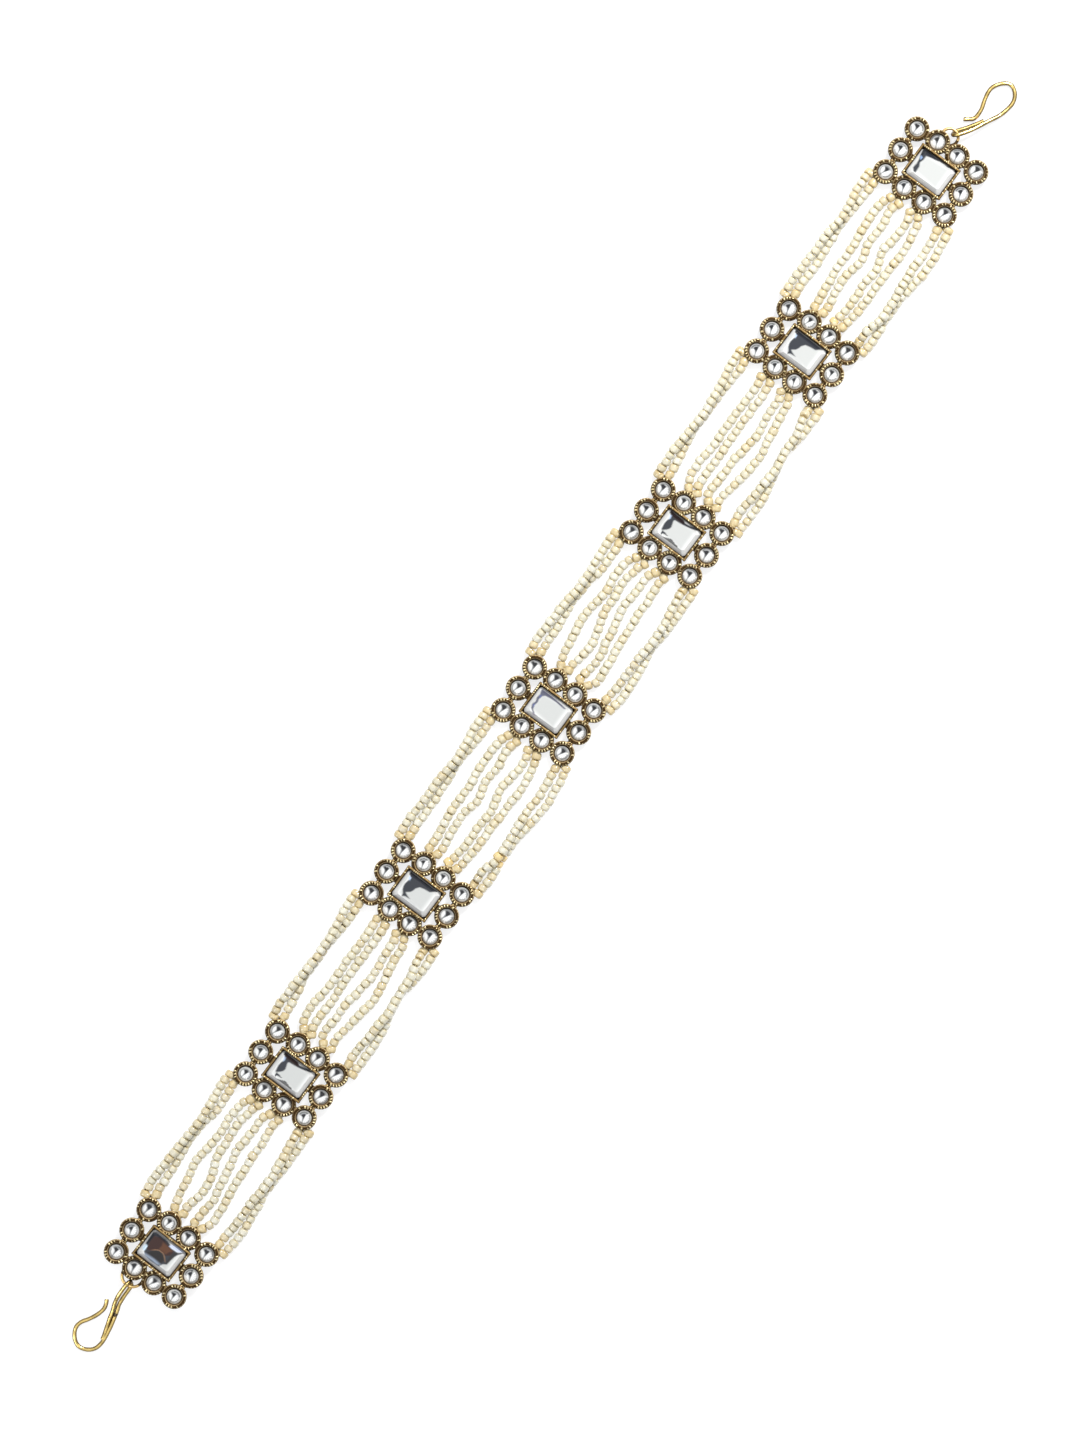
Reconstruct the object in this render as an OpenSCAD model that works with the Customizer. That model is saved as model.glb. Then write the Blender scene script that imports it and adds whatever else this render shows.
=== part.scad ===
// Matha patti: a flat head chain of seven pierced stone settings, joined by looped strings of
// seed beads, with a wire hook on a soldered bail at each end.
// It lies face up on a table. The band runs along X, its face looks up, and the origin is the
// middle of the middle setting's flat back.

/* [Band] */
// Distance from one setting to the next
pitch = 53; // [50:0.5:58]

/* [Round collets] */
// Thickness of a round collet's wall
collet_wall = 0.52; // [0.45:0.01:0.7]
// Height of a round collet's wall
collet_h = 2.4; // [2.2:0.05:2.8]
// Thickness of the closed back under each stone
back_t = 0.75; // [0.5:0.05:0.9]
// Diameter of the rope wire round a collet's rim
rim_wire = 0.64; // [0.5:0.02:0.72]
// Open joint between neighbouring collets of a long side, which a solder bar bridges
collet_joint = 0.65; // [0.4:0.05:0.9]

/* [Centre frame] */
// Width of the oblong frame's wall, outside
frame_w = 8.6; // [8.4:0.1:9.4]
// Length of the oblong frame's wall, outside
frame_l = 11.1; // [10.9:0.1:11.8]
// Height of the oblong frame's wall
frame_h = 2.95; // [2.8:0.05:3.4]
// Diameter of the rope wire round the frame's rim
frame_wire = 0.6; // [0.5:0.02:0.7]
// Corner radius of the frame
frame_corner_r = 0.6; // [0.4:0.05:0.9]
// How deep the middle collets of a long side are let into the frame's wall
side_overlap = 0.12; // [0.05:0.01:0.2]
// Open joint between the frame and the collets at its two ends
end_joint = 0.85; // [0.6:0.05:1.2]
// How far the middle collets of a long side stand out past the corner ones
waist_bow = 0.4; // [0.2:0.05:0.7]

/* [Stones] */
// Diameter of a round stone
stone_d = 3.94; // [3.6:0.02:4.1]
// Diameter of a round stone's table
stone_table_d = 2.3; // [1.8:0.1:2.8]
// Height of a round stone's crown
stone_crown = 0.65; // [0.4:0.05:0.8]
// Depth of a round stone's pavilion
stone_pavilion = 1.05; // [0.8:0.05:1.15]
// Facets round a round stone's crown
stone_facets = 10; // [8:1:12]
// Width of the oblong centre stone
centre_w = 7.4; // [7:0.05:7.5]
// Length of the oblong centre stone
centre_l = 9.9; // [9.4:0.05:10]
// Width of the centre stone's bevel
centre_bevel = 1.05; // [0.8:0.05:1.6]
// Height of the centre stone's crown
centre_crown = 0.95; // [0.5:0.05:1.2]
// Depth of the centre stone below its girdle
centre_pavilion = 1.25; // [0.8:0.05:1.4]
// Cut at each corner of the centre stone
centre_corner = 0.55; // [0.3:0.05:0.9]
// Clearance between a stone and its seat
seat_gap = 0.11; // [0.1:0.01:0.15]

/* [Solder and granules] */
// Width of a solder bar between two neighbours
bar_w = 2; // [1.2:0.1:2.4]
// Height of a solder bar
bar_h = 1.5; // [1:0.1:1.9]
// Diameter of the granule on each joint of a short side
granule_d = 1.05; // [0.8:0.05:1.3]

/* [Bead strings] */
// Diameter of a seed bead, and of a whole string
bead_d = 2.1; // [1.8:0.05:2.35]
// Diameter of the thread
thread_d = 0.3; // [0.2:0.02:0.34]
// Clearance between a string and the table
bead_gap = 0.1; // [0.05:0.01:0.2]
// Least space left between the middles of a pair's two strings, over a bead's width
string_gap = 0.3; // [0.3:0.05:0.5]
// Wire diameter of a thread eye
eye_wire = 0.36; // [0.3:0.02:0.4]
// Hole diameter of a thread eye
eye_hole = 0.58; // [0.54:0.02:0.7]
// Turn of a corner collet's thread eye towards the band's edge, in degrees
eye_turn = 30; // [22:1:40]

/* [Bails and hooks] */
// Wire diameter of a bail
bail_wire = 0.75; // [0.6:0.05:0.9]
// Radius of the left bail, to the middle of its wire
left_bail_r = 2.6; // [2.4:0.05:3]
// Radius of the right bail, to the middle of its wire
right_bail_r = 2.05; // [1.9:0.05:2.4]
// Wire diameter of a hook
hook_wire = 1.06; // [0.9:0.02:1.14]
// Clearance between a hook's eye and the bail it hangs on
link_gap = 0.22; // [0.12:0.02:0.3]
// Clearance between a hook and the table
table_gap = 0.05; // [0.02:0.01:0.2]

/* [Hidden] */

$fn = 48;

// How each setting lies: off its even place along and across the band, and its turn in degrees
LAY = [
  [-0.9, 0, -2.3], [-1, -0.4, -1.3], [-1.2, 0.2, -1.3], [0, 0, -0.8],
  [-0.5, -0.3, -1.4], [-0.7, 0.4, -1.8], [-0.6, 0.3, -0.9]
];

// Where the strings bend, as shares of half the gap between two settings
STATIONS = [-0.8, -0.53, -0.27, 0, 0.27, 0.53, 0.8];

// How far each string lies off the straight line between its two eyes at each station, in bead
// widths. Three gap patterns repeat along the band. Each has four pairs from the top edge down,
// with the upper string and then the lower one.
STRINGS = [
  [
    [[1, 0.9, 0.8, 0.6, 0.5, 0.6, 0.8], [-0.2, -0.2, 0, 0.2, 0, -0.4, -0.4]],
    [[0.9, 1.2, 1.6, 1.5, 1.2, 1.4, 1.2], [-0.6, -1, -0.8, -0.1, 0, 0.2, -0.2]],
    [[0.5, 0.2, 0.6, 0.9, 1.3, 1.1, 1.1], [-1.2, -1.1, -0.9, -0.7, -0.6, -0.6, -0.4]],
    [[0.1, 0, 0, -0.2, -0.2, 0, 0.3], [-1.1, -1.1, -0.9, -0.6, -0.7, -0.8, -0.8]]
  ],
  [
    [[0.9, 0.8, 0.6, 0.4, 0.4, 0.5, 0.8], [-0.2, 0, 0.3, 0.2, 0.1, -0.1, -0.3]],
    [[1.1, 1.2, 0.9, 0.8, 0.7, 0.6, 0.5], [-0.2, -0.3, -0.4, -0.4, -0.5, -0.6, -0.7]],
    [[1.1, 0.9, 0.8, 0.4, 0.1, 0.3, 0.3], [-0.4, -0.8, -1.2, -1.5, -1.3, -1, -0.9]],
    [[0.4, 0.1, -0.1, -0.3, -0.1, -0.1, 0.3], [-0.9, -1, -0.8, -0.4, -0.2, -0.6, -0.8]]
  ],
  [
    [[0.9, 0.8, 0.7, 0.7, 0.4, 0.6, 0.8], [-0.2, -0.3, -0.2, -0.1, 0.1, -0.1, -0.3]],
    [[0.6, 0.8, 1, 0.9, 1.1, 1.2, 1.1], [-0.7, -0.4, -0.4, -0.8, -0.3, -0.5, -0.2]],
    [[0.3, 0.1, 0.2, 0, 0.6, 0.3, 0.2], [-0.9, -1.1, -1.1, -1.2, -1.3, -1.3, -1]],
    [[0.3, -0.2, -0.2, 0, 0.1, 0, 0.2], [-0.9, -0.7, -0.7, -0.8, -1.2, -1.3, -1.1]]
  ]
];

// How a string leaves its eye, in bead widths: distances outwards and along the collet's wall,
// with the string's width. A width of 0 is the bare thread.
INNER_END = [[0.04, 0.24, 0], [0.16, 0.41, 0.36], [0.45, 0.61, 1]];
EDGE_END = [[0.04, 0.24, 0], [0.16, 0.46, 0.36], [0.36, 0.72, 1]];
STRING_SIDES = 8;

// Bails: how far each one's middle is outwards and along the column from the upper middle collet
// of its end setting, in collet radii, and where its arc starts and ends
LEFT_BAIL = [0.7, -0.34, 84, 286];
RIGHT_BAIL = [1.05, -0.625, -150, 97];

// Hooks: where each eye crosses its bail, as an angle round the bail, and the way the eye points
LEFT_EYE = [193, -10];
RIGHT_EYE = [-25, -31];
// Bends of the hooks' wires, outwards from the bail, across the band and above the table's
// clearance. The left hook is one wire bent to a loop, with a hairpin soldered along it.
LEFT_LOOP = [
  [5.8, 2.4, 0], [6.6, 1.9, 0], [8.1, 1.6, 0], [10.1, 2.1, 0], [12.1, 3.1, 0], [13.8, 4.2, 0], [15.4, 4.5, 0],
  [17.1, 3.8, 0], [18.4, 2.5, 0], [18.9, 0.9, 0], [18.3, -0.9, 0], [17, -2.2, 0], [15.1, -2.7, 0],
  [13.1, -2.6, 0], [11.1, -2.3, 0], [9.1, -1.9, 0], [7.9, -1.6, 0]
];
LEFT_LONG_LEG = [
  [14.3, -2.4, 0], [13.1, -2.1, 0], [11.1, -1.5, 0], [9.1, -0.9, 0.1], [7.1, -0.4, 0.3],
  [5.1, 0.3, 0.8], [3.1, 0.6, 1.5]
];
LEFT_SHORT_LEG = [[3.1, -0.6, 0], [5.1, -0.8, 0], [6.3, -1.2, 0], [7.3, -1.5, 0]];
// The right hook is one wire bent to a loop and folded back on itself at the eye.
RIGHT_LOOP = [
  [3.7, 0.7, 0], [4.4, -0.3, 0], [5.2, -1.2, 0], [6.5, -1.5, 0], [8.3, -1.4, 0], [10.3, -0.8, 0],
  [12.3, -0.4, 0], [13.9, -0.5, 0], [15.5, -1.4, 0], [16.7, -2.7, 0], [17, -3.9, 0],
  [16.5, -5.1, 0], [15.3, -6.2, 0], [13.5, -6.7, 0], [11.3, -6.4, 0.1], [9.3, -5.8, 0.3],
  [7.3, -4.8, 0.8], [5.3, -3.8, 1.3], [2.5, -2.4, 1.8]
];
RIGHT_SHORT_LEG = [[2.3, -1, 0], [4.2, -2.3, 0], [6.2, -3.5, 0]];
// Each half of a folded eye lies this share of the wire to one side of the middle
EYE_SIDE = 0.56;
WIRE_SIDES = 8;
WIRE_STEPS = 2;

// Round collets
seat_r = stone_d / 2 + seat_gap;
collet_r = seat_r + collet_wall;
girdle_z = back_t + seat_gap + stone_pavilion;
rim_r = (seat_r + rim_wire / 2 + collet_r) / 2;

// Plan of a setting
collet_step = 2 * collet_r + collet_joint;
waist_x = frame_w / 2 - side_overlap + collet_r;
corner_x = waist_x - waist_bow;
end_y = frame_l / 2 + end_joint + collet_r;
COLUMN = [1.5, 0.5, -0.5, -1.5] * collet_step;
function column_x(row) = abs(row) < collet_step ? waist_x : corner_x;
COLLETS = concat(
  [for (side = [-1, 1], row = COLUMN) [side * column_x(row), row]],
  [[0, end_y], [0, -end_y]]
);

// Centre frame and stone
frame_seat_w = centre_w + 2 * seat_gap;
frame_seat_l = centre_l + 2 * seat_gap;
centre_girdle_z = back_t + seat_gap + centre_pavilion;

// Thread eyes and strings
eye_r = (eye_hole + eye_wire) / 2;
eye_reach = collet_r + eye_r - eye_wire / 2;
string_z = bead_d / 2 + bead_gap;
string_step = bead_d + string_gap;

// Bails and hooks
link_r = (bail_wire + hook_wire) / 2 + link_gap;
hook_z = hook_wire / 2 + table_gap;
bail_z = hook_z + link_r;
function bail_spot(side, bail) =
  [side * (waist_x + bail[0] * collet_r), COLUMN[1] + bail[1] * collet_r];

SETTING_COUNT = len(LAY);
FIRST_X = -pitch * (SETTING_COUNT - 1) / 2;
// Middle of setting i on the table
function middle(i) = [FIRST_X + i * pitch + LAY[i][0], LAY[i][1]];
// A point or a direction of setting i, turned as the setting lies
function turned(p, a) = [p[0] * cos(a) - p[1] * sin(a), p[0] * sin(a) + p[1] * cos(a)];
function placed(i, p) = middle(i) + turned(p, LAY[i][2]);

// Thread eyes: pair 0 is at the top edge and pair 3 at the bottom, and side is 1 or -1
EYE_TURNS = [eye_turn, 0, 0, -eye_turn];
function eye_spot(pair, side) = let (row = COLUMN[pair], a = EYE_TURNS[pair])
  [side * (column_x(row) + eye_reach * cos(a)), row + eye_reach * sin(a)];
// Ways away from the collet at an eye, and along its wall towards the band's top edge
function eye_out(pair, side) = [side * cos(EYE_TURNS[pair]), sin(EYE_TURNS[pair])];
function eye_way(pair, side) = [-side * sin(EYE_TURNS[pair]), cos(EYE_TURNS[pair])];

function unit(v) = v / norm(v);
function mix(a, b, u) = a + (b - a) * u;

// Strings: one row of points per string, each with its width as a share of a bead
half_gap = pitch / 2 - waist_x - collet_r;
function station_x(gap, k) = (middle(gap)[0] + middle(gap + 1)[0]) / 2 + STATIONS[k] * half_gap;
// How far apart a pair's two strings lie at station k, where a half is between two stations
function spread(strings, k) = let (a = floor(k), b = ceil(k))
  (strings[0][a] + strings[0][b] - strings[1][a] - strings[1][b]) / 2 * bead_d;
// How high the upper string rides, where the two lie closer than side by side
function ride(strings, k) = max([
  for (near = [k - 0.5, k, k + 0.5]) if (near >= 0 && near <= len(STATIONS) - 1)
    sqrt(max(0, string_step ^ 2 - spread(strings, near) ^ 2))
]);
function station(gap, pair, high, k) = let (
    strings = STRINGS[gap % len(STRINGS)][pair],
    left = placed(gap, eye_spot(pair, 1)),
    right = placed(gap + 1, eye_spot(pair, -1)),
    x = station_x(gap, k),
    line = mix(left[1], right[1], (x - left[0]) / (right[0] - left[0]))
  ) [x, line + strings[high ? 0 : 1][k] * bead_d, string_z + (high ? ride(strings, k) : 0)];
function end_points(gap, pair, high, side) = let (
    i = side > 0 ? gap : gap + 1,
    eye = placed(i, eye_spot(pair, side)),
    out = turned(eye_out(pair, side), LAY[i][2]),
    way = turned(eye_way(pair, side), LAY[i][2]) * (high ? 1 : -1),
    edge = (high && pair == 0) || (!high && pair == 3)
  ) [for (ring = edge ? EDGE_END : INNER_END)
      let (spot = eye + (out * ring[0] + way * ring[1]) * bead_d) [[each spot, string_z], ring[2]]];
function reversed(list) = [for (i = [len(list) - 1:-1:0]) list[i]];
function string_points(gap, pair, high) = concat(
  end_points(gap, pair, high, 1),
  [for (k = [0:len(STATIONS) - 1]) [station(gap, pair, high, k), 1]],
  reversed(end_points(gap, pair, high, -1))
);
function eye_point(i, pair, side) = let (eye = placed(i, eye_spot(pair, side)))
  [[[eye[0], eye[1], string_z], 0]];
function loop_points(gap, pair) = concat(
  eye_point(gap, pair, 1), string_points(gap, pair, true),
  eye_point(gap + 1, pair, -1), reversed(string_points(gap, pair, false))
);

// Corners of a tube's ring round point p, square to way and with a flat side down
function ring_corners(p, way, side, r, sides) = let (up = cross(way, side)) [
  for (k = [0:sides - 1]) let (a = 360 * (k + 0.5) / sides)
    p + r / cos(180 / sides) * (cos(a) * side + sin(a) * up)
];
// Walls between neighbouring rings of a tube
function tube_faces(rings, sides, joined) = [
  for (i = [0:joined ? rings - 1 : rings - 2], k = [0:sides - 1], half = [0, 1]) let (
    here = i * sides,
    next = (i + 1) % rings * sides,
    after = (k + 1) % sides
  ) half == 0 ? [here + k, next + after, here + after] : [here + k, next + k, next + after]
];
function level_side(way) = unit([way[1], -way[0], 0]);

// A closed loop of string: the thread at the eyes, and a tube of beads between them
module string_loop(points) {
  count = len(points);
  corners = [for (i = [0:count - 1]) let (
      way = unit(points[(i + 1) % count][0] - points[(i + count - 1) % count][0]),
      r = mix(thread_d, bead_d, points[i][1]) / 2
    ) each ring_corners(points[i][0], way, level_side(way), r, STRING_SIDES)];
  polyhedron(corners, tube_faces(count, STRING_SIDES, true), convexity = 6);
}

// Wires: a smooth run of points through the bends, carried round with no twist
function spline(a, b, c, d, u) = 0.5 * (2 * b + (c - a) * u
  + (2 * a - 5 * b + 4 * c - d) * u ^ 2 + (3 * b - a - 3 * c + d) * u ^ 3);
function smooth(bends) = let (last = len(bends) - 1) concat(
  [for (i = [0:last - 1], s = [0:WIRE_STEPS - 1])
    spline(bends[max(i - 1, 0)], bends[i], bends[i + 1], bends[min(i + 2, last)], s / WIRE_STEPS)],
  [bends[last]]
);
function carried(ways, side, i = 0) = i == len(ways) ? [] :
  let (next = unit(side - (side * ways[i]) * ways[i])) concat([next], carried(ways, next, i + 1));
module wire(bends, r, start_r) {
  points = smooth(bends);
  last = len(points) - 1;
  ways = [for (i = [0:last]) unit(points[min(i + 1, last)] - points[max(i - 1, 0)])];
  sides = carried(ways, level_side(ways[0]));
  corners = [for (i = [0:last])
    each ring_corners(points[i], ways[i], sides[i], i == 0 ? start_r : r, WIRE_SIDES)];
  faces = concat(
    tube_faces(last + 1, WIRE_SIDES, false),
    [[for (k = [0:WIRE_SIDES - 1]) k]],
    [[for (k = [WIRE_SIDES - 1:-1:0]) last * WIRE_SIDES + k]]
  );
  polyhedron(corners, faces, convexity = 8);
}

// A round collet: a cup with a tapered seat, and a rope wire round its rim
module round_collet() {
  seat_floor_r = seat_r - stone_pavilion;
  rotate_extrude()
    polygon([
      [0, 0], [collet_r, 0], [collet_r, collet_h], [seat_r, collet_h],
      [seat_r, girdle_z - seat_gap], [seat_floor_r, back_t], [0, back_t]
    ]);
  translate([0, 0, collet_h])
    rotate_extrude()
      translate([rim_r, 0])
        circle(d = rim_wire, $fn = 24);
}

// An upright block with rounded corners, on the plane z = 0
module rounded_block(w, l, h, r) {
  translate([-w / 2, -l / 2 + r, 0])
    cube([w, l - 2 * r, h]);
  translate([-w / 2 + r, -l / 2, 0])
    cube([w - 2 * r, l, h]);
  for (x = [-1, 1], y = [-1, 1])
    translate([x * (w / 2 - r), y * (l / 2 - r), 0])
      cylinder(r = r, h = h, $fn = 32);
}

// The oblong frame round the centre stone, with a rope wire on its rim
module centre_frame() {
  rim_x = (frame_w + frame_seat_w) / 4 + frame_wire / 8;
  rim_y = (frame_l + frame_seat_l) / 4 + frame_wire / 8;
  difference() {
    rounded_block(frame_w, frame_l, frame_h, frame_corner_r);
    translate([-frame_seat_w / 2, -frame_seat_l / 2, back_t])
      cube([frame_seat_w, frame_seat_l, frame_h]);
  }
  for (side = [-1, 1]) {
    translate([side * rim_x, -rim_y, frame_h])
      rotate([-90, 0, 0])
        cylinder(d = frame_wire, h = 2 * rim_y, $fn = 24);
    translate([-rim_x, side * rim_y, frame_h])
      rotate([0, 90, 0])
        cylinder(d = frame_wire, h = 2 * rim_x, $fn = 24);
  }
  for (x = [-1, 1], y = [-1, 1])
    translate([x * rim_x, y * rim_y, frame_h])
      sphere(d = frame_wire * 1.2, $fn = 24);
}

// A solder bar from wall to wall of two neighbours, whose middles are p and q
module solder_bar(p, q, p_reach, q_reach, w) {
  across = q - p;
  overlap = collet_wall / 2;
  translate([p[0], p[1], 0])
    rotate([0, 0, atan2(across[1], across[0])])
      translate([p_reach - overlap, -w / 2, 0])
        cube([norm(across) - p_reach - q_reach + 2 * overlap, w, bar_h]);
}

// All the solder between a setting's collets and frame, with the granules of its short sides
module solder() {
  for (side = [-1, 1]) {
    for (k = [0:2])
      solder_bar([side * column_x(COLUMN[k]), COLUMN[k]],
                 [side * column_x(COLUMN[k + 1]), COLUMN[k + 1]], collet_r, collet_r, bar_w);
    solder_bar([0, side * end_y], [0, 0], collet_r, frame_l / 2, bar_w);
    for (end = [-1, 1]) {
      corner = [end * corner_x, side * COLUMN[0]];
      middle = [0, side * end_y];
      solder_bar(corner, middle, collet_r, collet_r, bar_w * 0.75);
      joint = (corner + middle) / 2;
      translate([joint[0], joint[1], bar_h + granule_d * 0.3])
        sphere(d = granule_d, $fn = 32);
    }
  }
}

// A thread eye standing on a collet's wall, its hole along the wall
module thread_eye(pair, side) {
  spot = eye_spot(pair, side);
  way = eye_way(pair, side);
  translate([spot[0], spot[1], string_z])
    rotate([0, 0, atan2(way[1], way[0])])
      rotate([0, 90, 0])
        rotate_extrude()
          translate([eye_r, 0])
            circle(d = eye_wire, $fn = 16);
}

// A bail: an arc of wire soldered into the end collets
module bail(side, arc, r) {
  spot = bail_spot(side, arc);
  translate([spot[0], spot[1], bail_z])
    rotate([0, 0, arc[2]])
      rotate_extrude(angle = arc[3] - arc[2])
        translate([r, 0])
          circle(d = bail_wire, $fn = 24);
}

module placed_setting(i) {
  translate([middle(i)[0], middle(i)[1], 0])
    rotate([0, 0, LAY[i][2]])
      children();
}

// One setting: ten round collets round an oblong frame, all soldered, with its eyes and bail
module setting(i) {
  color("darkgoldenrod") placed_setting(i) {
    for (spot = COLLETS)
      translate([spot[0], spot[1], 0])
        round_collet();
    centre_frame();
    solder();
    for (pair = [0:3]) {
      if (i > 0)
        thread_eye(pair, -1);
      if (i < SETTING_COUNT - 1)
        thread_eye(pair, 1);
    }
    if (i == 0)
      bail(-1, LEFT_BAIL, left_bail_r);
    if (i == SETTING_COUNT - 1)
      bail(1, RIGHT_BAIL, right_bail_r);
  }
}

// A cut stone from outlines that lie over each other, each given as points at one height
module cut_stone(outlines) {
  sides = len(outlines[0]);
  last = len(outlines) - 1;
  faces = concat(
    tube_faces(last + 1, sides, false),
    [[for (k = [0:sides - 1]) k]],
    [[for (k = [sides - 1:-1:0]) last * sides + k]]
  );
  polyhedron([for (outline = outlines) each outline], faces);
}

// A round stone: a pointed pavilion, a ring of crown facets and a table
module round_stone() {
  top_z = girdle_z + stone_crown;
  function corners(r, z) = [for (k = [0:stone_facets - 1])
    let (a = 360 * (k + 0.5) / stone_facets) [r * cos(a), r * sin(a), z]];
  points = concat(corners(stone_d / 2, girdle_z), corners(stone_table_d / 2, top_z),
                  [[0, 0, girdle_z - stone_pavilion]]);
  culet = 2 * stone_facets;
  faces = concat(
    tube_faces(2, stone_facets, false),
    [for (k = [0:stone_facets - 1]) [culet, k, (k + 1) % stone_facets]],
    [[for (k = [stone_facets - 1:-1:0]) stone_facets + k]]
  );
  polyhedron(points, faces);
}

module round_stones(i) {
  color("white") placed_setting(i)
    for (spot = COLLETS)
      translate([spot[0], spot[1], 0])
        round_stone();
}

// The oblong centre stone: cut corners, a bevel all round and a flat table
module centre_stone(i) {
  function oblong(inset, z) = let (
      x = centre_w / 2 - inset, y = centre_l / 2 - inset, c = centre_corner
    ) [[x, y - c, z], [x - c, y, z], [c - x, y, z], [-x, y - c, z],
       [-x, c - y, z], [c - x, -y, z], [x - c, -y, z], [x, c - y, z]];
  color("gainsboro") placed_setting(i)
    cut_stone([
      oblong(centre_bevel, centre_girdle_z - centre_pavilion),
      oblong(0, centre_girdle_z),
      oblong(centre_bevel, centre_girdle_z + centre_crown)
    ]);
}

module bead_loop(gap, pair) {
  color("wheat") string_loop(loop_points(gap, pair));
}

// Where a hook's eye crosses its bail, and the bends of its eye, from over the bail to under it
function crossing(i, side, bail, r, a) =
  placed(i, bail_spot(side, bail) + r * [cos(a), sin(a)]);
function eye_bends(heading) = let (
    along = [cos(heading), sin(heading), 0],
    side = [-sin(heading), cos(heading), 0]
  ) [for (a = [90:30:270]) let (across = (90 - a) / 90 + 1)
      along * link_r * cos(a) + [0, 0, link_r * (1 + sin(a))]
      + side * EYE_SIDE * hook_wire * across];

// The left hook: one wire bent to a loop, and a hairpin through the bail soldered along it
module hook_left() {
  spot = crossing(0, -1, LEFT_BAIL, left_bail_r, LEFT_EYE[0]);
  color("gold")
    translate([spot[0], spot[1], hook_z])
      mirror([1, 0, 0]) {
        wire(LEFT_LOOP, hook_wire / 2, hook_wire * 0.4);
        wire(concat(LEFT_LONG_LEG, eye_bends(LEFT_EYE[1]), LEFT_SHORT_LEG),
             hook_wire / 2, hook_wire * 0.35);
      }
}

// The right hook: one wire bent to a loop, folded back through the bail
module hook_right() {
  spot = crossing(SETTING_COUNT - 1, 1, RIGHT_BAIL, right_bail_r, RIGHT_EYE[0]);
  folded = [for (bend = eye_bends(-RIGHT_EYE[1])) [bend[0], -bend[1], bend[2]]];
  color("gold")
    translate([spot[0], spot[1], hook_z])
      wire(concat(RIGHT_LOOP, folded, RIGHT_SHORT_LEG), hook_wire / 2, hook_wire * 0.4);
}

setting(0);  // setting_1
setting(1);  // setting_2
setting(2);  // setting_3
setting(3);  // setting_4
setting(4);  // setting_5
setting(5);  // setting_6
setting(6);  // setting_7
centre_stone(0);  // centre_stone_1
centre_stone(1);  // centre_stone_2
centre_stone(2);  // centre_stone_3
centre_stone(3);  // centre_stone_4
centre_stone(4);  // centre_stone_5
centre_stone(5);  // centre_stone_6
centre_stone(6);  // centre_stone_7
round_stones(0);  // round_stones_1
round_stones(1);  // round_stones_2
round_stones(2);  // round_stones_3
round_stones(3);  // round_stones_4
round_stones(4);  // round_stones_5
round_stones(5);  // round_stones_6
round_stones(6);  // round_stones_7
bead_loop(0, 0);  // bead_loop_1a
bead_loop(0, 1);  // bead_loop_1b
bead_loop(0, 2);  // bead_loop_1c
bead_loop(0, 3);  // bead_loop_1d
bead_loop(1, 0);  // bead_loop_2a
bead_loop(1, 1);  // bead_loop_2b
bead_loop(1, 2);  // bead_loop_2c
bead_loop(1, 3);  // bead_loop_2d
bead_loop(2, 0);  // bead_loop_3a
bead_loop(2, 1);  // bead_loop_3b
bead_loop(2, 2);  // bead_loop_3c
bead_loop(2, 3);  // bead_loop_3d
bead_loop(3, 0);  // bead_loop_4a
bead_loop(3, 1);  // bead_loop_4b
bead_loop(3, 2);  // bead_loop_4c
bead_loop(3, 3);  // bead_loop_4d
bead_loop(4, 0);  // bead_loop_5a
bead_loop(4, 1);  // bead_loop_5b
bead_loop(4, 2);  // bead_loop_5c
bead_loop(4, 3);  // bead_loop_5d
bead_loop(5, 0);  // bead_loop_6a
bead_loop(5, 1);  // bead_loop_6b
bead_loop(5, 2);  // bead_loop_6c
bead_loop(5, 3);  // bead_loop_6d
hook_left();
hook_right();
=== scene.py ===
# Matha patti: the looks of a flat head chain of seven stone settings and looped seed bead strings.
# It lies face up on a pale table, its band along X, and every size is in millimetres until it is
# put in place.
import math
import random

import bmesh
import bpy
import numpy as np
from mathutils import Matrix, Vector


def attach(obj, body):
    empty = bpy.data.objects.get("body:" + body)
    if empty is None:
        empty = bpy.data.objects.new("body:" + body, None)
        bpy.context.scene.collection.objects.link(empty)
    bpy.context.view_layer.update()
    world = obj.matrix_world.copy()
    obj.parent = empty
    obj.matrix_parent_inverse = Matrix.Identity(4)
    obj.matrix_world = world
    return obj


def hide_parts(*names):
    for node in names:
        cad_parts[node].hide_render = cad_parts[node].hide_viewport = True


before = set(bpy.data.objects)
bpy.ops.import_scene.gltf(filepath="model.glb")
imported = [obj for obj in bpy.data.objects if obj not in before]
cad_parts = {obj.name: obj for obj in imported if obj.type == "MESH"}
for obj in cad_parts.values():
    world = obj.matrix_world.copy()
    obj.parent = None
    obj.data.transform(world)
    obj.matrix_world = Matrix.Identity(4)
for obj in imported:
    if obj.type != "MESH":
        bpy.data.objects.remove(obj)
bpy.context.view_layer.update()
MM = 0.001
luck = random.Random(7)

# Sizes and places, the same as the solids' where both have them
PITCH = 53.0
# How each setting lies off its even place: along the band, across it, and turned in degrees
LAY = [(-0.9, 0, -2.3), (-1, -0.4, -1.3), (-1.2, 0.2, -1.3), (0, 0, -0.8),
       (-0.5, -0.3, -1.4), (-0.7, 0.4, -1.8), (-0.6, 0.3, -0.9)]
SETTINGS = len(LAY)
FIRST_X = -159.0
COLUMN = [8.775, 2.925, -2.925, -8.775]
WAIST_X, CORNER_X, END_Y = 6.78, 6.38, 9.0
COLLETS = [(side * (WAIST_X if abs(row) < 5 else CORNER_X), row) for side in (-1, 1) for row in COLUMN]
COLLETS += [(0, END_Y), (0, -END_Y)]
RIM_R, RIM_Z, RIM_GRAINS = 2.54, 2.4, 23
# Grains nearer than the reach to another collet's middle lie lower by the drop
WORN_REACH, WORN_DROP = 3.4, 0.12
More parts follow.
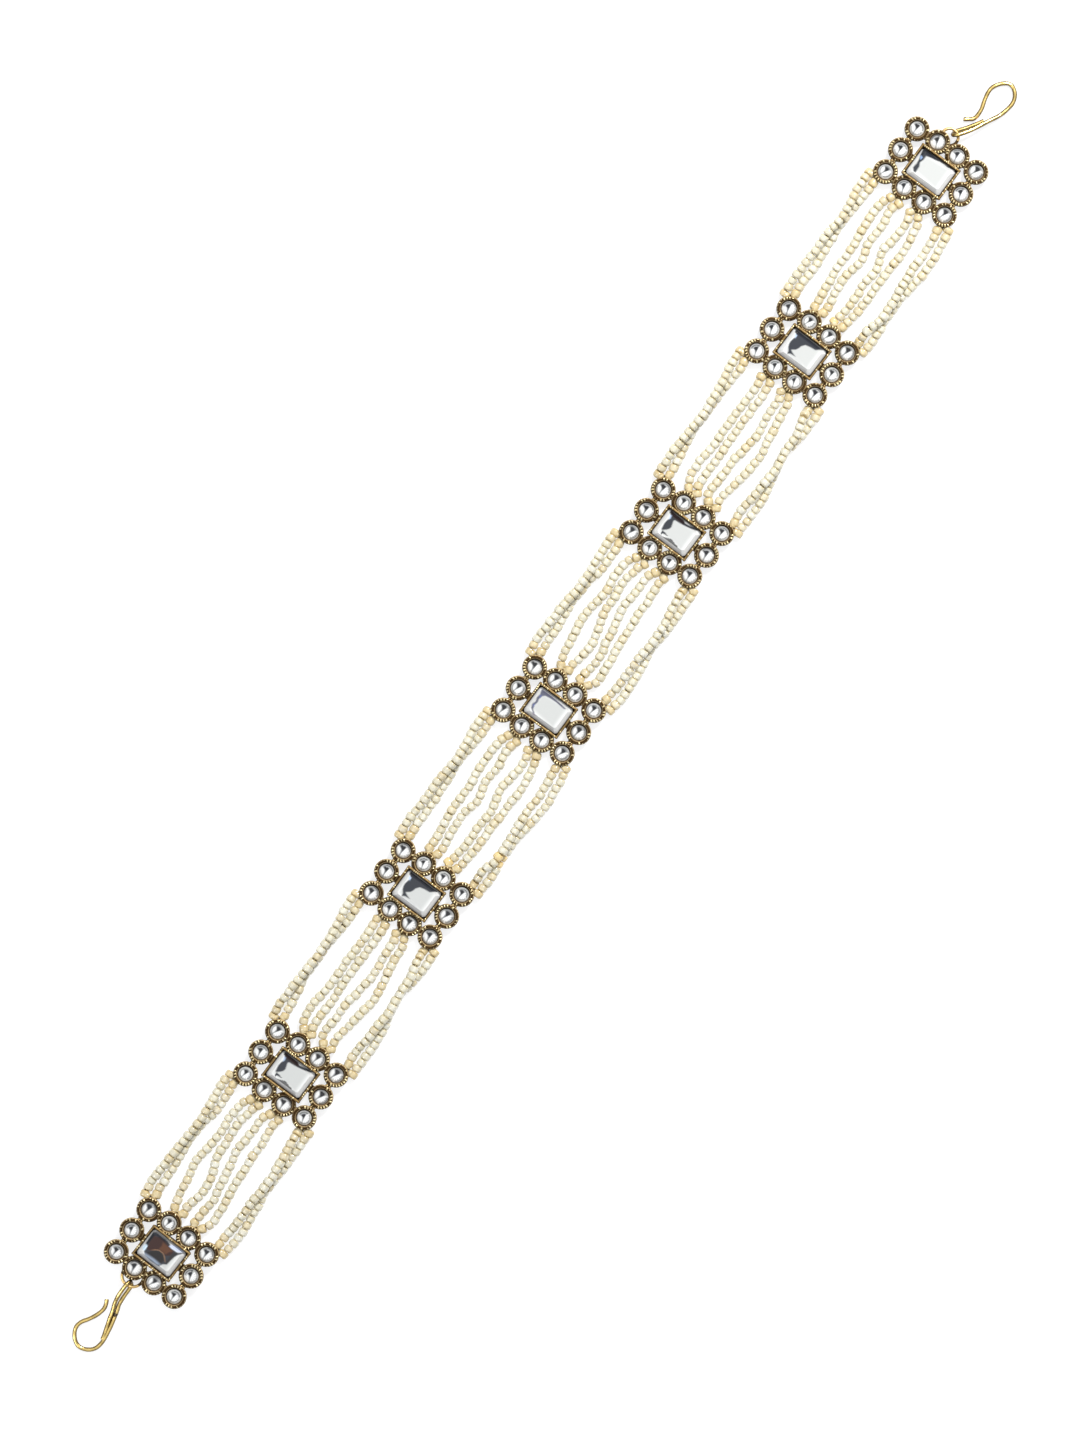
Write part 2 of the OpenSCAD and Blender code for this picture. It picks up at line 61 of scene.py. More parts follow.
# A lip's profile, as distance from the collet's middle and height
LIP = [(1.76, 1.74), (1.98, 1.8), (2.12, 2.4), (2.2, 2.64), (2.32, 2.4), (2.82, 2.3), (3.03, 2.1),
       (3.01, 1.65), (1.76, 1.65)]
LIP_SIDES, OUTER_SLOPE_R, SLOPE_BLEND = 24, 2.45, 0.3
# A rope grain's size, its stretch on the frame's rim, and how many lie along and across that rim
GRAIN_SIZE, FRAME_GRAIN = (0.76, 0.46, 0.64), (0.74, 0.86, 0.85, 1)
FRAME_GRAINS_X, FRAME_GRAINS_Y = 15, 20
# Bars across a short side's joint, each a rope grain: offset along the band, stretch along the grain
# and across it, and height above the table
JOINT_BARS = [(-0.52, 1.6, 0.7, 1.8), (0, 2.0, 0.85, 2.0), (0.52, 1.6, 0.7, 1.8)]
# Ribs across a joint between two collets of a column: offsets, height and stretch
NECK_RIBS, RIB_Z, RIB_SIZE = [-0.75, -0.25, 0.25, 0.75], 1.62, (1.1, 0.8, 0.9, 1)
FRAME_RIM_X, FRAME_RIM_Y, FRAME_RIM_Z = 4.13, 5.38, 2.95
STONE_R, STONE_TABLE_R, GIRDLE_Z, STONE_CROWN, STONE_DEPTH = 1.97, 1.15, 1.91, 0.65, 1.05
CENTRE_W, CENTRE_L, CENTRE_BEVEL, CENTRE_CORNER = 7.4, 9.9, 1.05, 0.55
CENTRE_GIRDLE_Z, CENTRE_CROWN, CENTRE_DEPTH = 2.11, 0.95, 1.25
CENTRE_BACK = (0.72, 0.79, 1)
# The centre stone's faces are cut this often across and along, to hold the painted picture
CENTRE_CUTS_X, CENTRE_CUTS_Y = 37, 49
BEAD_D, BEAD_PITCH, BEAD_SQUASH, THREAD_D, END_BEAD = 2.1, 1.78, 0.9, 0.3, (1.95, 1.95, 1.6, 1)
STRING_Z, STRING_STEP = 1.15, 2.4
EYE_REACH = 2.89
EYE_TURNS = [30, 0, 0, -30]
HALF_GAP = 17.12
STATIONS = [-0.8, -0.53, -0.27, 0, 0.27, 0.53, 0.8]
# How far each string lies off the straight line between its eyes at each station, in bead widths.
# The gaps repeat every three. A gap has four pairs from the top edge down, each with its upper string
# and its lower one
STRINGS = [
    [[[1, .9, .8, .6, .5, .6, .8], [-.2, -.2, 0, .2, 0, -.4, -.4]],
     [[.9, 1.2, 1.6, 1.5, 1.2, 1.4, 1.2], [-.6, -1, -.8, -.1, 0, .2, -.2]],
     [[.5, .2, .6, .9, 1.3, 1.1, 1.1], [-1.2, -1.1, -.9, -.7, -.6, -.6, -.4]],
     [[.1, 0, 0, -.2, -.2, 0, .3], [-1.1, -1.1, -.9, -.6, -.7, -.8, -.8]]],
    [[[.9, .8, .6, .4, .4, .5, .8], [-.2, 0, .3, .2, .1, -.1, -.3]],
     [[1.1, 1.2, .9, .8, .7, .6, .5], [-.2, -.3, -.4, -.4, -.5, -.6, -.7]],
     [[1.1, .9, .8, .4, .1, .3, .3], [-.4, -.8, -1.2, -1.5, -1.3, -1, -.9]],
     [[.4, .1, -.1, -.3, -.1, -.1, .3], [-.9, -1, -.8, -.4, -.2, -.6, -.8]]],
    [[[.9, .8, .7, .7, .4, .6, .8], [-.2, -.3, -.2, -.1, .1, -.1, -.3]],
     [[.6, .8, 1, .9, 1.1, 1.2, 1.1], [-.7, -.4, -.4, -.8, -.3, -.5, -.2]],
     [[.3, .1, .2, 0, .6, .3, .2], [-.9, -1.1, -1.1, -1.2, -1.3, -1.3, -1]],
     [[.3, -.2, -.2, 0, .1, 0, .2], [-.9, -.7, -.7, -.8, -1.2, -1.3, -1.1]]],
]
# The bends between an eye and a string's first bead, outward and sideways, in bead widths. The
# strings along the band's two edges have their own
INNER_END = [(0.04, 0.24), (0.16, 0.41), (0.45, 0.61)]
EDGE_END = [(0.04, 0.24), (0.16, 0.46), (0.36, 0.72)]
# A bail's middle, radius, and the turn at which the hook's eye crosses it
LEFT_BAIL, RIGHT_BAIL = (-8.6, 2.041, 2.6, 193), (9.51, 1.3, 2.05, -25)
HOOK_WIRE, HOOK_Z, LINK_R, EYE_SIDE = 1.06, 0.58, 1.125, 0.56
# The hooks' bends, from the place where each crosses its bail and out to the band's end
LEFT_LOOP = [
    (5.8, 2.4, 0), (6.6, 1.9, 0), (8.1, 1.6, 0), (10.1, 2.1, 0), (12.1, 3.1, 0), (13.8, 4.2, 0),
    (15.4, 4.5, 0), (17.1, 3.8, 0), (18.4, 2.5, 0), (18.9, .9, 0), (18.3, -.9, 0), (17, -2.2, 0),
    (15.1, -2.7, 0), (13.1, -2.6, 0), (11.1, -2.3, 0), (9.1, -1.9, 0), (7.9, -1.6, 0)]
LEFT_LONG_LEG = [(14.3, -2.4, 0), (13.1, -2.1, 0), (11.1, -1.5, 0), (9.1, -.9, .1), (7.1, -.4, .3),
                 (5.1, .3, .8), (3.1, .6, 1.5)]
LEFT_SHORT_LEG = [(3.1, -.6, 0), (5.1, -.8, 0), (6.3, -1.2, 0), (7.3, -1.5, 0)]
# A dark piece over the gap between the loop's end and the short leg's end: the cut ends, and painted shade
# in the gap
LEFT_ENDS_AND_GAP_SHADE = [(7.1, -1.45, 0), (7.6, -1.55, 0), (8.2, -1.65, 0)]
RIGHT_LOOP = [
    (3.7, .7, 0), (4.4, -.3, 0), (5.2, -1.2, 0), (6.5, -1.5, 0), (8.3, -1.4, 0), (10.3, -.8, 0),
    (12.3, -.4, 0), (13.9, -.5, 0), (15.5, -1.4, 0), (16.7, -2.7, 0), (17, -3.9, 0),
    (16.5, -5.1, 0), (15.3, -6.2, 0), (13.5, -6.7, 0), (11.3, -6.4, .1), (9.3, -5.8, .3),
    (7.3, -4.8, .8), (5.3, -3.8, 1.3), (2.5, -2.4, 1.8)]
RIGHT_SHORT_LEG = [(2.3, -1, 0), (4.2, -2.3, 0), (6.2, -3.5, 0)]


# Camera and lights, in metres
CAMERA_PLACE, CAMERA_TURN = (-0.00306, 0.0003, 1.2975), -54.5126
scene = bpy.context.scene
scene.view_settings.view_transform = "Standard"
camera_data = bpy.data.cameras.new("camera")
camera_data.sensor_width = 36
camera_data.lens = 135
camera = bpy.data.objects.new("camera", camera_data)
camera.location = CAMERA_PLACE
camera.rotation_euler = (0, 0, math.radians(CAMERA_TURN))
scene.collection.objects.link(camera)
scene.camera = camera


def soft_light(name, place, aim, size, watts, colour=(1, 1, 1)):
    """A soft box at a place, turned to shine at the point aim."""
    data = bpy.data.lights.new(name, "AREA")
    data.shape = "DISK"
    data.size = size
    data.energy = watts
    data.color = colour
    box = bpy.data.objects.new(name, data)
    box.location = place
    box.rotation_mode = "QUATERNION"
    box.rotation_quaternion = (Vector(aim) - Vector(place)).to_track_quat("-Z", "Y")
    scene.collection.objects.link(box)


soft_light("key_box", (0.62, 0.1, 0.66), (0, 0, 0), 0.2, 9, (1, 0.985, 0.96))
soft_light("fill_box", (-0.65, 0.3, 0.6), (0, 0, 0), 0.35, 2, (0.97, 0.98, 1))


# Shader nodes and the effects that materials share
def add_node(tree, kind, **settings):
    """Adds a node. Settings named in_0, in_1 ... go to its input sockets, as values or as links."""
    made = tree.nodes.new(kind)
    for label, value in settings.items():
        if not label.startswith("in_"):
            setattr(made, label, value)
        elif isinstance(value, bpy.types.NodeSocket):
            tree.links.new(value, made.inputs[int(label[3:])])
        else:
            made.inputs[int(label[3:])].default_value = value
    return made


def maths(tree, operation, first, second=0.0):
    """The output of one sum on two values or links."""
    return add_node(tree, "ShaderNodeMath", operation=operation, in_0=first, in_1=second).outputs[0]


def own_place(tree):
    """The output that holds each spot's place in the frame, in metres."""
    return add_node(tree, "ShaderNodeTexCoord").outputs["Object"]


def painted(tree, layer):
    """The output that holds a painted layer's colour."""
    return add_node(tree, "ShaderNodeAttribute", attribute_name=layer).outputs["Color"]


def make_studio():
    """Light from a pale tent: bright overhead and dim towards the sides."""
    world = bpy.data.worlds.new("studio")
    scene.world = world
    world.use_nodes = True
    tree = world.node_tree
    place = add_node(tree, "ShaderNodeTexCoord")
    split = add_node(tree, "ShaderNodeSeparateXYZ", in_0=place.outputs["Generated"])
    tent = add_node(tree, "ShaderNodeMapRange", interpolation_type="SMOOTHSTEP", in_0=split.outputs["Z"],
                    in_1=0.3, in_2=0.85, in_3=0.12, in_4=0.84)
    tree.nodes["Background"].inputs["Color"].default_value = (0.98, 0.99, 1, 1)
    tree.links.new(tent.outputs[0], tree.nodes["Background"].inputs["Strength"])


def effect_group(name, inputs, output):
    """A new shader node group with float inputs {name: value} and one float output."""
    group = bpy.data.node_groups.new(name, "ShaderNodeTree")
    for label, value in inputs.items():
        socket = group.interface.new_socket(label, in_out="INPUT", socket_type="NodeSocketFloat")
        socket.default_value = value
    group.interface.new_socket(output, in_out="OUTPUT", socket_type="NodeSocketFloat")
    return group, group.nodes.new("NodeGroupInput").outputs, group.nodes.new("NodeGroupOutput").inputs


def make_patina_group():
    """Dark patina mask: 1 in the low ground, 0 on the raised edges that wear bright.

    It is 0 also on all that lies farther from the band's middle than Bright Beyond.
    """
    group, given, end = effect_group("patina_depth", {"Low": 1.5, "High": 2.3, "Blotch Scale": 1800.0,
                                                      "Blotch": 0.35, "Middle X": -0.6,
                                                      "Bright Beyond": NOWHERE}, "Value")
    place = own_place(group)
    split = add_node(group, "ShaderNodeSeparateXYZ", in_0=place).outputs
    noise = add_node(group, "ShaderNodeTexNoise", in_0=place, in_2=given["Blotch Scale"], in_3=3.0)
    blotch = maths(group, "MULTIPLY", maths(group, "SUBTRACT", noise.outputs[0], 0.5), given["Blotch"])
    height = maths(group, "ADD", maths(group, "MULTIPLY", split["Z"], 1000.0), blotch)
    low = add_node(group, "ShaderNodeMapRange", interpolation_type="SMOOTHSTEP", in_0=height,
                   in_1=given["Low"], in_2=given["High"], in_3=1.0, in_4=0.0)
    x = maths(group, "MULTIPLY", split["X"], 1000.0)
    out = maths(group, "ABSOLUTE", maths(group, "SUBTRACT", x, given["Middle X"]))
    inside = maths(group, "LESS_THAN", out, given["Bright Beyond"])
    group.links.new(maths(group, "MULTIPLY", low.outputs[0], inside), end[0])
    return group


def make_pitting_group():
    """Fine casting grain as a height, for a bump."""
    group, given, end = effect_group("casting_grain", {"Grain Scale": 5200.0, "Depth": 1.0}, "Height")
    noise = add_node(group, "ShaderNodeTexNoise", in_0=own_place(group), in_2=given["Grain Scale"],
                     in_3=4.0)
    group.links.new(maths(group, "MULTIPLY", noise.outputs[0], given["Depth"]), end[0])
    return group


FINE_GRAIN = 0.00002
NOWHERE = 1000.0
make_studio()
PATINA = make_patina_group()
GRAIN = make_pitting_group()


def new_material(name, **values):
    """A material whose Principled shader has the given values on its own sockets."""
    made = bpy.data.materials.new(name)
    made.use_nodes = True
    shader = made.node_tree.nodes["Principled BSDF"]
    for label, value in values.items():
        shader.inputs[label.replace("_", " ")].default_value = value
    return made, made.node_tree, shader


def add_bump(tree, shader, height, strength, distance):
    """Makes a shader's skin uneven by a height."""
    bump = add_node(tree, "ShaderNodeBump")
    bump.inputs["Strength"].default_value = strength
    bump.inputs["Distance"].default_value = distance
    tree.links.new(height, bump.inputs["Height"])
    tree.links.new(bump.outputs[0], shader.inputs["Normal"])


def gold_material(name, bright, dark, low, high, roughness, blotch=0.35, metallic=1.0, beyond=NOWHERE,
                  painted_light=None):
    """Gold that is dark with patina below a height and bright above it.

    It is bright throughout beyond a distance from the band's middle, and the last argument names a layer of
    painted light and shade that lights or dims its colour.
    """
    made, tree, shader = new_material(name, Metallic=metallic, Roughness=roughness)
    patina = add_node(tree, "ShaderNodeGroup", node_tree=PATINA)
    for label, value in (("Low", low), ("High", high), ("Blotch", blotch), ("Bright Beyond", beyond)):
        patina.inputs[label].default_value = value
    mix = add_node(tree, "ShaderNodeMix", data_type="RGBA", in_0=patina.outputs[0], in_6=(*bright, 1),
                   in_7=(*dark, 1))
    colour = mix.outputs[2]
    if painted_light:
        colour = add_node(tree, "ShaderNodeVectorMath", operation="MULTIPLY", in_0=colour,
                          in_1=painted(tree, painted_light)).outputs[0]
    rough = add_node(tree, "ShaderNodeMapRange", in_0=patina.outputs[0], in_3=roughness,
                     in_4=min(1, roughness + 0.3))
    tree.links.new(colour, shader.inputs["Base Color"])
    tree.links.new(rough.outputs[0], shader.inputs["Roughness"])
    grain = add_node(tree, "ShaderNodeGroup", node_tree=GRAIN)
    add_bump(tree, shader, grain.outputs[0], 0.6, FINE_GRAIN)
    return made


def painted_stone_material(name, layer, roughness):
    """Foiled glass: its colour is the painted reflection picture in the layer, under a polished coat."""
    made, tree, shader = new_material(name, Roughness=roughness, Coat_Weight=0.25, Coat_Roughness=0.03,
                                      Specular_IOR_Level=0.4)
    tree.links.new(painted(tree, layer), shader.inputs["Base Color"])
    return made


def mottled(tree, colour, noise, low, high, dim, bright):
    """A colour that is dimmed or brightened as a noise goes from low to high."""
    shade = add_node(tree, "ShaderNodeMapRange", in_0=noise, in_1=low, in_2=high, in_3=dim, in_4=bright)
    made = add_node(tree, "ShaderNodeVectorMath", operation="SCALE", in_0=colour, in_3=shade.outputs[0])
    return made.outputs[0]


def pearl_material():
    """Seed bead: its own tint, with painted light and golden painted shade, under a pearl coat of uneven
    skin.
    """
    made, tree, shader = new_material("seed_pearl", Roughness=0.4, Coat_Weight=1.0, Coat_Roughness=0.08)
    noise = add_node(tree, "ShaderNodeTexNoise", in_0=own_place(tree), in_2=1300.0, in_3=3.0).outputs[0]
    lit_tint = add_node(tree, "ShaderNodeVectorMath", operation="MULTIPLY", in_0=painted(tree, "bead_tint"),
                    in_1=painted(tree, "bead_lustre")).outputs[0]
    tree.links.new(mottled(tree, lit_tint, noise, 0.3, 0.7, 0.8, 1.06), shader.inputs["Base Color"])
    add_bump(tree, shader, noise, 0.35, 0.00012)
    return made


def wire_material():
    """Gilt wire: bright along the top, as its painted shade says, with faint brown wear."""
    made, tree, shader = new_material("wire_gold", Metallic=1.0, Roughness=0.26)
    noise = add_node(tree, "ShaderNodeTexNoise", in_0=own_place(tree), in_2=700.0, in_3=2.0).outputs[0]
    worn = mottled(tree, painted(tree, "wire_shade"), noise, 0.3, 0.6, 0.62, 1.0)
    tree.links.new(worn, shader.inputs["Base Color"])
    return made


antique_gold = gold_material("antique_gold", (0.75, 0.52, 0.22), (0.075, 0.042, 0.016), 2.9, 3.8, 0.34,
                             beyond=168.85)
rope_gold = gold_material("rope_gold", (1, 0.86, 0.5), (0.08, 0.045, 0.015), 2.12, 2.34, 0.28, 0.1)
frame_rope_gold = gold_material("frame_rope_gold", (1, 0.87, 0.52), (0.09, 0.05, 0.016), 2.86, 3.06,
                                0.28, 0.1)
# the lip's colour is multiplied by its layer of painted light and shade
cup_gold = gold_material("cup_gold", (0.53, 0.39, 0.2), (0.045, 0.027, 0.011), 1.92, 2.42, 0.55, 0.4,
                         metallic=0.25, painted_light="lip_polish")
joint_gold = gold_material("joint_gold", (0.95, 0.72, 0.36), (0.06, 0.034, 0.012), 1.78, 2.22, 0.3, 0.1)
wire_gold = wire_material()
# dark for the hook's cut ends and for the painted shade in the gap between them
end_and_gap_shade = gold_material("end_and_gap_shade", (0.12, 0.09, 0.06), (0.08, 0.05, 0.03), 0, 1, 0.4)
round_foil_reflection = painted_stone_material("round_foil_reflection", "foil", 0.12)
centre_foil_reflection = painted_stone_material("centre_foil_reflection", "foil", 0.1)
pearl = pearl_material()
thread_white, _, _ = new_material("waxed_thread", Base_Color=(0.8, 0.75, 0.6, 1), Roughness=0.7)
table_white, _, _ = new_material("table_white", Base_Color=(0.3, 0.3, 0.3, 1), Roughness=0.9,
                                 Emission_Color=(1, 1, 1, 1), Emission_Strength=0.78)


# Bench work
def put_down():
    bpy.ops.object.select_all(action="DESELECT")


def take(piece):
    put_down()
    piece.select_set(True)
    bpy.context.view_layer.objects.active = piece


def named(name, material=None):
    """Names the piece that was just added, and gives it its material."""
    piece = bpy.context.object
    piece.name = piece.data.name = name
    if material:
        piece.data.materials.append(material)
    return piece


def pick(piece, wanted):
    """In edit mode, selects the faces that wanted(middle, normal) keeps."""
    shape = bmesh.from_edit_mesh(piece.data)
    bpy.ops.mesh.select_mode(type="FACE")
    bpy.ops.mesh.select_all(action="DESELECT")
    for face in shape.faces:
        if wanted(face.calc_center_median(), face.normal):
            face.select_set(True)
    bmesh.update_edit_mesh(piece.data)


def open_edit(piece):
    take(piece)
    bpy.ops.object.mode_set(mode="EDIT")


def close_rim(piece):
    """Fills the open edge that is left when a face is drawn up from the rim."""
    bpy.ops.mesh.select_all(action="DESELECT")
    bpy.ops.mesh.select_mode(type="EDGE")
    bpy.ops.mesh.select_non_manifold()
    if any(edge.is_boundary for edge in bmesh.from_edit_mesh(piece.data).edges):
        bpy.ops.mesh.edge_face_add()


def finish_edit():
    """Turns all faces outward and leaves edit mode."""
    bpy.ops.mesh.select_all(action="SELECT")
    bpy.ops.mesh.normals_make_consistent(inside=False)
    bpy.ops.object.mode_set(mode="OBJECT")


def set_place(piece):
    """Puts a piece's place, turn and size into its mesh."""
    take(piece)
    bpy.ops.object.transform_apply(location=True, rotation=True, scale=True)


def copies(model, places, each=None):
    """Copies of a model, each with its own mesh, moved to the given places."""
    made = []
    for count, place in enumerate(places):
        mesh = model.data.copy()
        mesh.transform(place)
        if each:
            each(mesh, count)
        piece = bpy.data.objects.new(model.name, mesh)
        scene.collection.objects.link(piece)
        made.append(piece)
    return made


def joined(name, pieces):
    """One piece out of several."""
    put_down()
    for piece in pieces:
        piece.select_set(True)
    bpy.context.view_layer.objects.active = pieces[0]
    bpy.ops.object.join()
    whole = bpy.context.object
    whole.name = whole.data.name = name
    return whole


def throw_away(*models):
    for model in models:
        bpy.data.objects.remove(model)


def paint_layer(mesh, layer, colours):
    """Stores one painted colour for each point of the mesh."""
    store = mesh.color_attributes.new(layer, "FLOAT_COLOR", "POINT")
    store.data.foreach_set("color", np.column_stack([colours, np.ones(len(colours))]).ravel())


def points_of(mesh):
    spots = np.zeros(len(mesh.vertices) * 3)
    mesh.vertices.foreach_get("co", spots)
    return spots.reshape(-1, 3)


def tint_all(mesh, layer, colour):
    """Stores one painted colour for the whole mesh."""
    store = mesh.color_attributes.new(layer, "FLOAT_COLOR", "CORNER")
    store.data.foreach_set("color", [*colour, 1] * len(store.data))


# Places along the band
def turned(p, degrees):
    a = math.radians(degrees)
    return p[0] * math.cos(a) - p[1] * math.sin(a), p[0] * math.sin(a) + p[1] * math.cos(a)


def middle(i):
    return FIRST_X + i * PITCH + LAY[i][0], LAY[i][1]


def placed(i, p):
    x, y = turned(p, LAY[i][2])
    return middle(i)[0] + x, middle(i)[1] + y


def on_setting(i):
    """From a setting's own millimetres to the frame's metres."""
    return Matrix.Scale(MM, 4) @ at(*middle(i), 0, LAY[i][2])


def at(x, y, z=0.0, turn=0.0):
    return Matrix.Translation((x, y, z)) @ Matrix.Rotation(math.radians(turn), 4, "Z")


# Rope rims
def make_rope_grain():
    """One twist of a rope wire: a slanted rounded bar, flat below."""
    bpy.ops.mesh.primitive_uv_sphere_add(segments=8, ring_count=5, radius=0.5, location=(0, 0, 0))
    grain = named("rope_grain")
    grain.scale = GRAIN_SIZE
    set_place(grain)
    open_edit(grain)
    pick(grain, lambda spot, normal: spot.z < -0.12)
    bpy.ops.transform.resize(value=(0.9, 0.9, 0.4), center_override=(0, 0, -0.1))
    pick(grain, lambda spot, normal: spot.z > 0.12)
    bpy.ops.transform.resize(value=(1.1, 1.1, 0.95), center_override=(0, 0, 0.1))
    finish_edit()
    take(grain)
    bpy.ops.object.shade_smooth()
    return grain


def rope_round_rim(cup):
    """Grains round one cup's rim, worn high or low by chance, and worn down beside its neighbours."""
    places = []
    others = [other for other in COLLETS if other != cup]
    for k in range(RIM_GRAINS):
        a = 360 * k / RIM_GRAINS
        x, y = turned((RIM_R, 0), a)
        worn = min(math.dist((cup[0] + x, cup[1] + y), other) for other in others) < WORN_REACH
        z = RIM_Z + luck.uniform(-0.14, 0.28) - WORN_DROP * worn
        places.append(at(x, y, z, a + luck.uniform(5, 30))
                      @ Matrix.Diagonal((luck.uniform(0.86, 1.04), luck.uniform(0.85, 1.1), 1, 1)))
    return places


def rope_frame_rim():
    """Grains along the four sides of the frame's rim."""
    places = []
    for side in (-1, 1):
        for k in range(FRAME_GRAINS_X + 1):
            x = -FRAME_RIM_X + 2 * FRAME_RIM_X * k / FRAME_GRAINS_X
            places.append(at(x, side * FRAME_RIM_Y, FRAME_RIM_Z + luck.uniform(-0.2, 0.2), 90 + 30 * side))
        for k in range(1, FRAME_GRAINS_Y):
            y = -FRAME_RIM_Y + 2 * FRAME_RIM_Y * k / FRAME_GRAINS_Y
            places.append(at(side * FRAME_RIM_X, y, FRAME_RIM_Z + luck.uniform(-0.2, 0.2), 30 * side))
    return [place @ Matrix.Diagonal(FRAME_GRAIN) for place in places]


def make_cup_lip():
    """A cup's dull turned lip: a groove round the stone, a crest under the rope and an outer slope."""
    bpy.ops.mesh.primitive_circle_add(vertices=LIP_SIDES, radius=LIP[0][0], fill_type="NOTHING",
                                      location=(0, 0, LIP[0][1]))
    lip = named("cup_lip", cup_gold)
    set_place(lip)
    open_edit(lip)
    bpy.ops.mesh.select_mode(type="VERT")
    bpy.ops.mesh.select_all(action="SELECT")
    for (r, z), (next_r, next_z) in zip(LIP, LIP[1:]):
        bpy.ops.mesh.extrude_region_move(TRANSFORM_OT_translate={"value": (0, 0, next_z - z)})
        bpy.ops.transform.resize(value=(next_r / r, next_r / r, 1), center_override=(0, 0, next_z))
    bpy.ops.mesh.select_all(action="DESELECT")
    bpy.ops.mesh.select_mode(type="EDGE")
    bpy.ops.mesh.select_non_manifold()
    bpy.ops.mesh.bridge_edge_loops()
    finish_edit()
    take(lip)
    bpy.ops.object.shade_smooth_by_angle(angle=math.radians(50))
    # painted light on the left of the inner wall and on the right of the outer slope, painted shade opposite
    spots = points_of(lip.data)
    far = np.hypot(spots[:, 0], spots[:, 1])
    wall = 2 * np.clip((OUTER_SLOPE_R - far) / SLOPE_BLEND, 0, 1) - 1
    paint_layer(lip.data, "lip_polish", np.repeat((1 - 0.6 * wall * spots[:, 0] / far)[:, None], 3, axis=1))
    return lip


def joint_grains():
    """Bars across each short side's joints, and ribs across the joints of each column of collets."""
    places = []
    for end in (-1, 1):
        for side in (-1, 1):
            x, y = end * CORNER_X / 2, side * (COLUMN[0] + END_Y) / 2
            for offset, length, width, z in JOINT_BARS:
                places.append(at(x + offset, y, z, 94) @ Matrix.Diagonal((length, width, 1.1, 1)))
        for k, (row, next_row) in enumerate(zip(COLUMN, COLUMN[1:])):
            x = end * (WAIST_X if k == 1 else (WAIST_X + CORNER_X) / 2)
            for offset in NECK_RIBS:
                places.append(at(x + offset, (row + next_row) / 2, RIB_Z, 78) @ Matrix.Diagonal(RIB_SIZE))
    return places


grain = make_rope_grain()
lip = make_cup_lip()
for i in range(SETTINGS):
    base = on_setting(i)
    rims = [base @ at(x, y) @ place for x, y in COLLETS for place in rope_round_rim((x, y))]
    pieces = []
    for name, gold, places in (("collet_ropes", rope_gold, rims),
                               ("frame_rope", frame_rope_gold, [base @ place for place in rope_frame_rim()]),
                               ("joint_grains", joint_gold, [base @ place for place in joint_grains()])):
        grain.data.materials.clear()
        grain.data.materials.append(gold)
        pieces.append(joined(f"{name}_{i + 1}", copies(grain, places)))
    pieces.append(joined(f"cup_lips_{i + 1}", copies(lip, [base @ at(x, y) for x, y in COLLETS])))
    for piece in pieces:
        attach(piece, "root")
throw_away(grain, lip)


# Painting the stones' reflection pictures
def blend(a, b, share):
    """The colour that lies a share of the way from a to b."""
    return tuple(u + (v - u) * share for u, v in zip(a, b))


def far_from(spots, line):
    """How far each spot lies from a line of points."""
    best = np.full(len(spots), 1e9)
    for a, b in zip(line, line[1:]):
        a, run = np.array(a, float), np.subtract(b, a)
        share = np.clip((spots - a) @ run / max(run @ run, 1e-9), 0, 1)
        best = np.minimum(best, np.linalg.norm(spots - a - share[:, None] * run, axis=1))
    return best


def inside_of(spots, outline):
    """Whether each spot lies inside a closed outline."""
    odd = np.zeros(len(spots), bool)
    x, y = spots[:, 0], spots[:, 1]
    for (ax, ay), (bx, by) in zip(outline, outline[1:] + outline[:1]):
        if ay != by:
            odd ^= ((ay > y) != (by > y)) & (x < (bx - ax) * (y - ay) / (by - ay) + ax)
    return odd


def lay_on(colours, share, tone):
    """Lays a tone over the colours, each spot by its own share."""
    return colours + (np.array(tone) - colours) * share[:, None]


def patch(colours, spots, outline, soft, tone, strength=1.0):
    """Paints a closed patch with an edge that fades over the width soft."""
    far = far_from(spots, outline + outline[:1])
    far = np.where(inside_of(spots, outline), -far, far)
    share = np.clip(0.5 - far / soft, 0, 1)
    return lay_on(colours, strength * share * share * (3 - 2 * share), tone)


def stroke(colours, spots, line, width, soft, tone, strength=1.0):
    """Paints a brush stroke along a line."""
    share = np.clip((width + soft - far_from(spots, line)) / soft, 0, 1)
    return lay_on(colours, strength * share, tone)


INK, SLATE, STEEL, SILVER = (0.01, 0.01, 0.013), (0.03, 0.034, 0.043), (0.2, 0.21, 0.22), (0.4, 0.41, 0.42)
PAPER, SNOW, SKY, UMBER = (0.52, 0.535, 0.53), (0.8, 0.81, 0.81), (0.42, 0.55, 0.78), (0.035, 0.011, 0.008)


# Round stones
def draw_crown(stone, girdle, crown, share_x, share_y):
    """Draws a flat outline up to its smaller table, then picks the outline again for the back."""
    bpy.ops.mesh.select_all(action="SELECT")
    bpy.ops.mesh.extrude_region_move(TRANSFORM_OT_translate={"value": (0, 0, crown)})
    bpy.ops.transform.resize(value=(share_x, share_y, 1), center_override=(0, 0, girdle))
    close_rim(stone)
    pick(stone, lambda spot, normal: abs(spot.z - girdle) < 0.01)


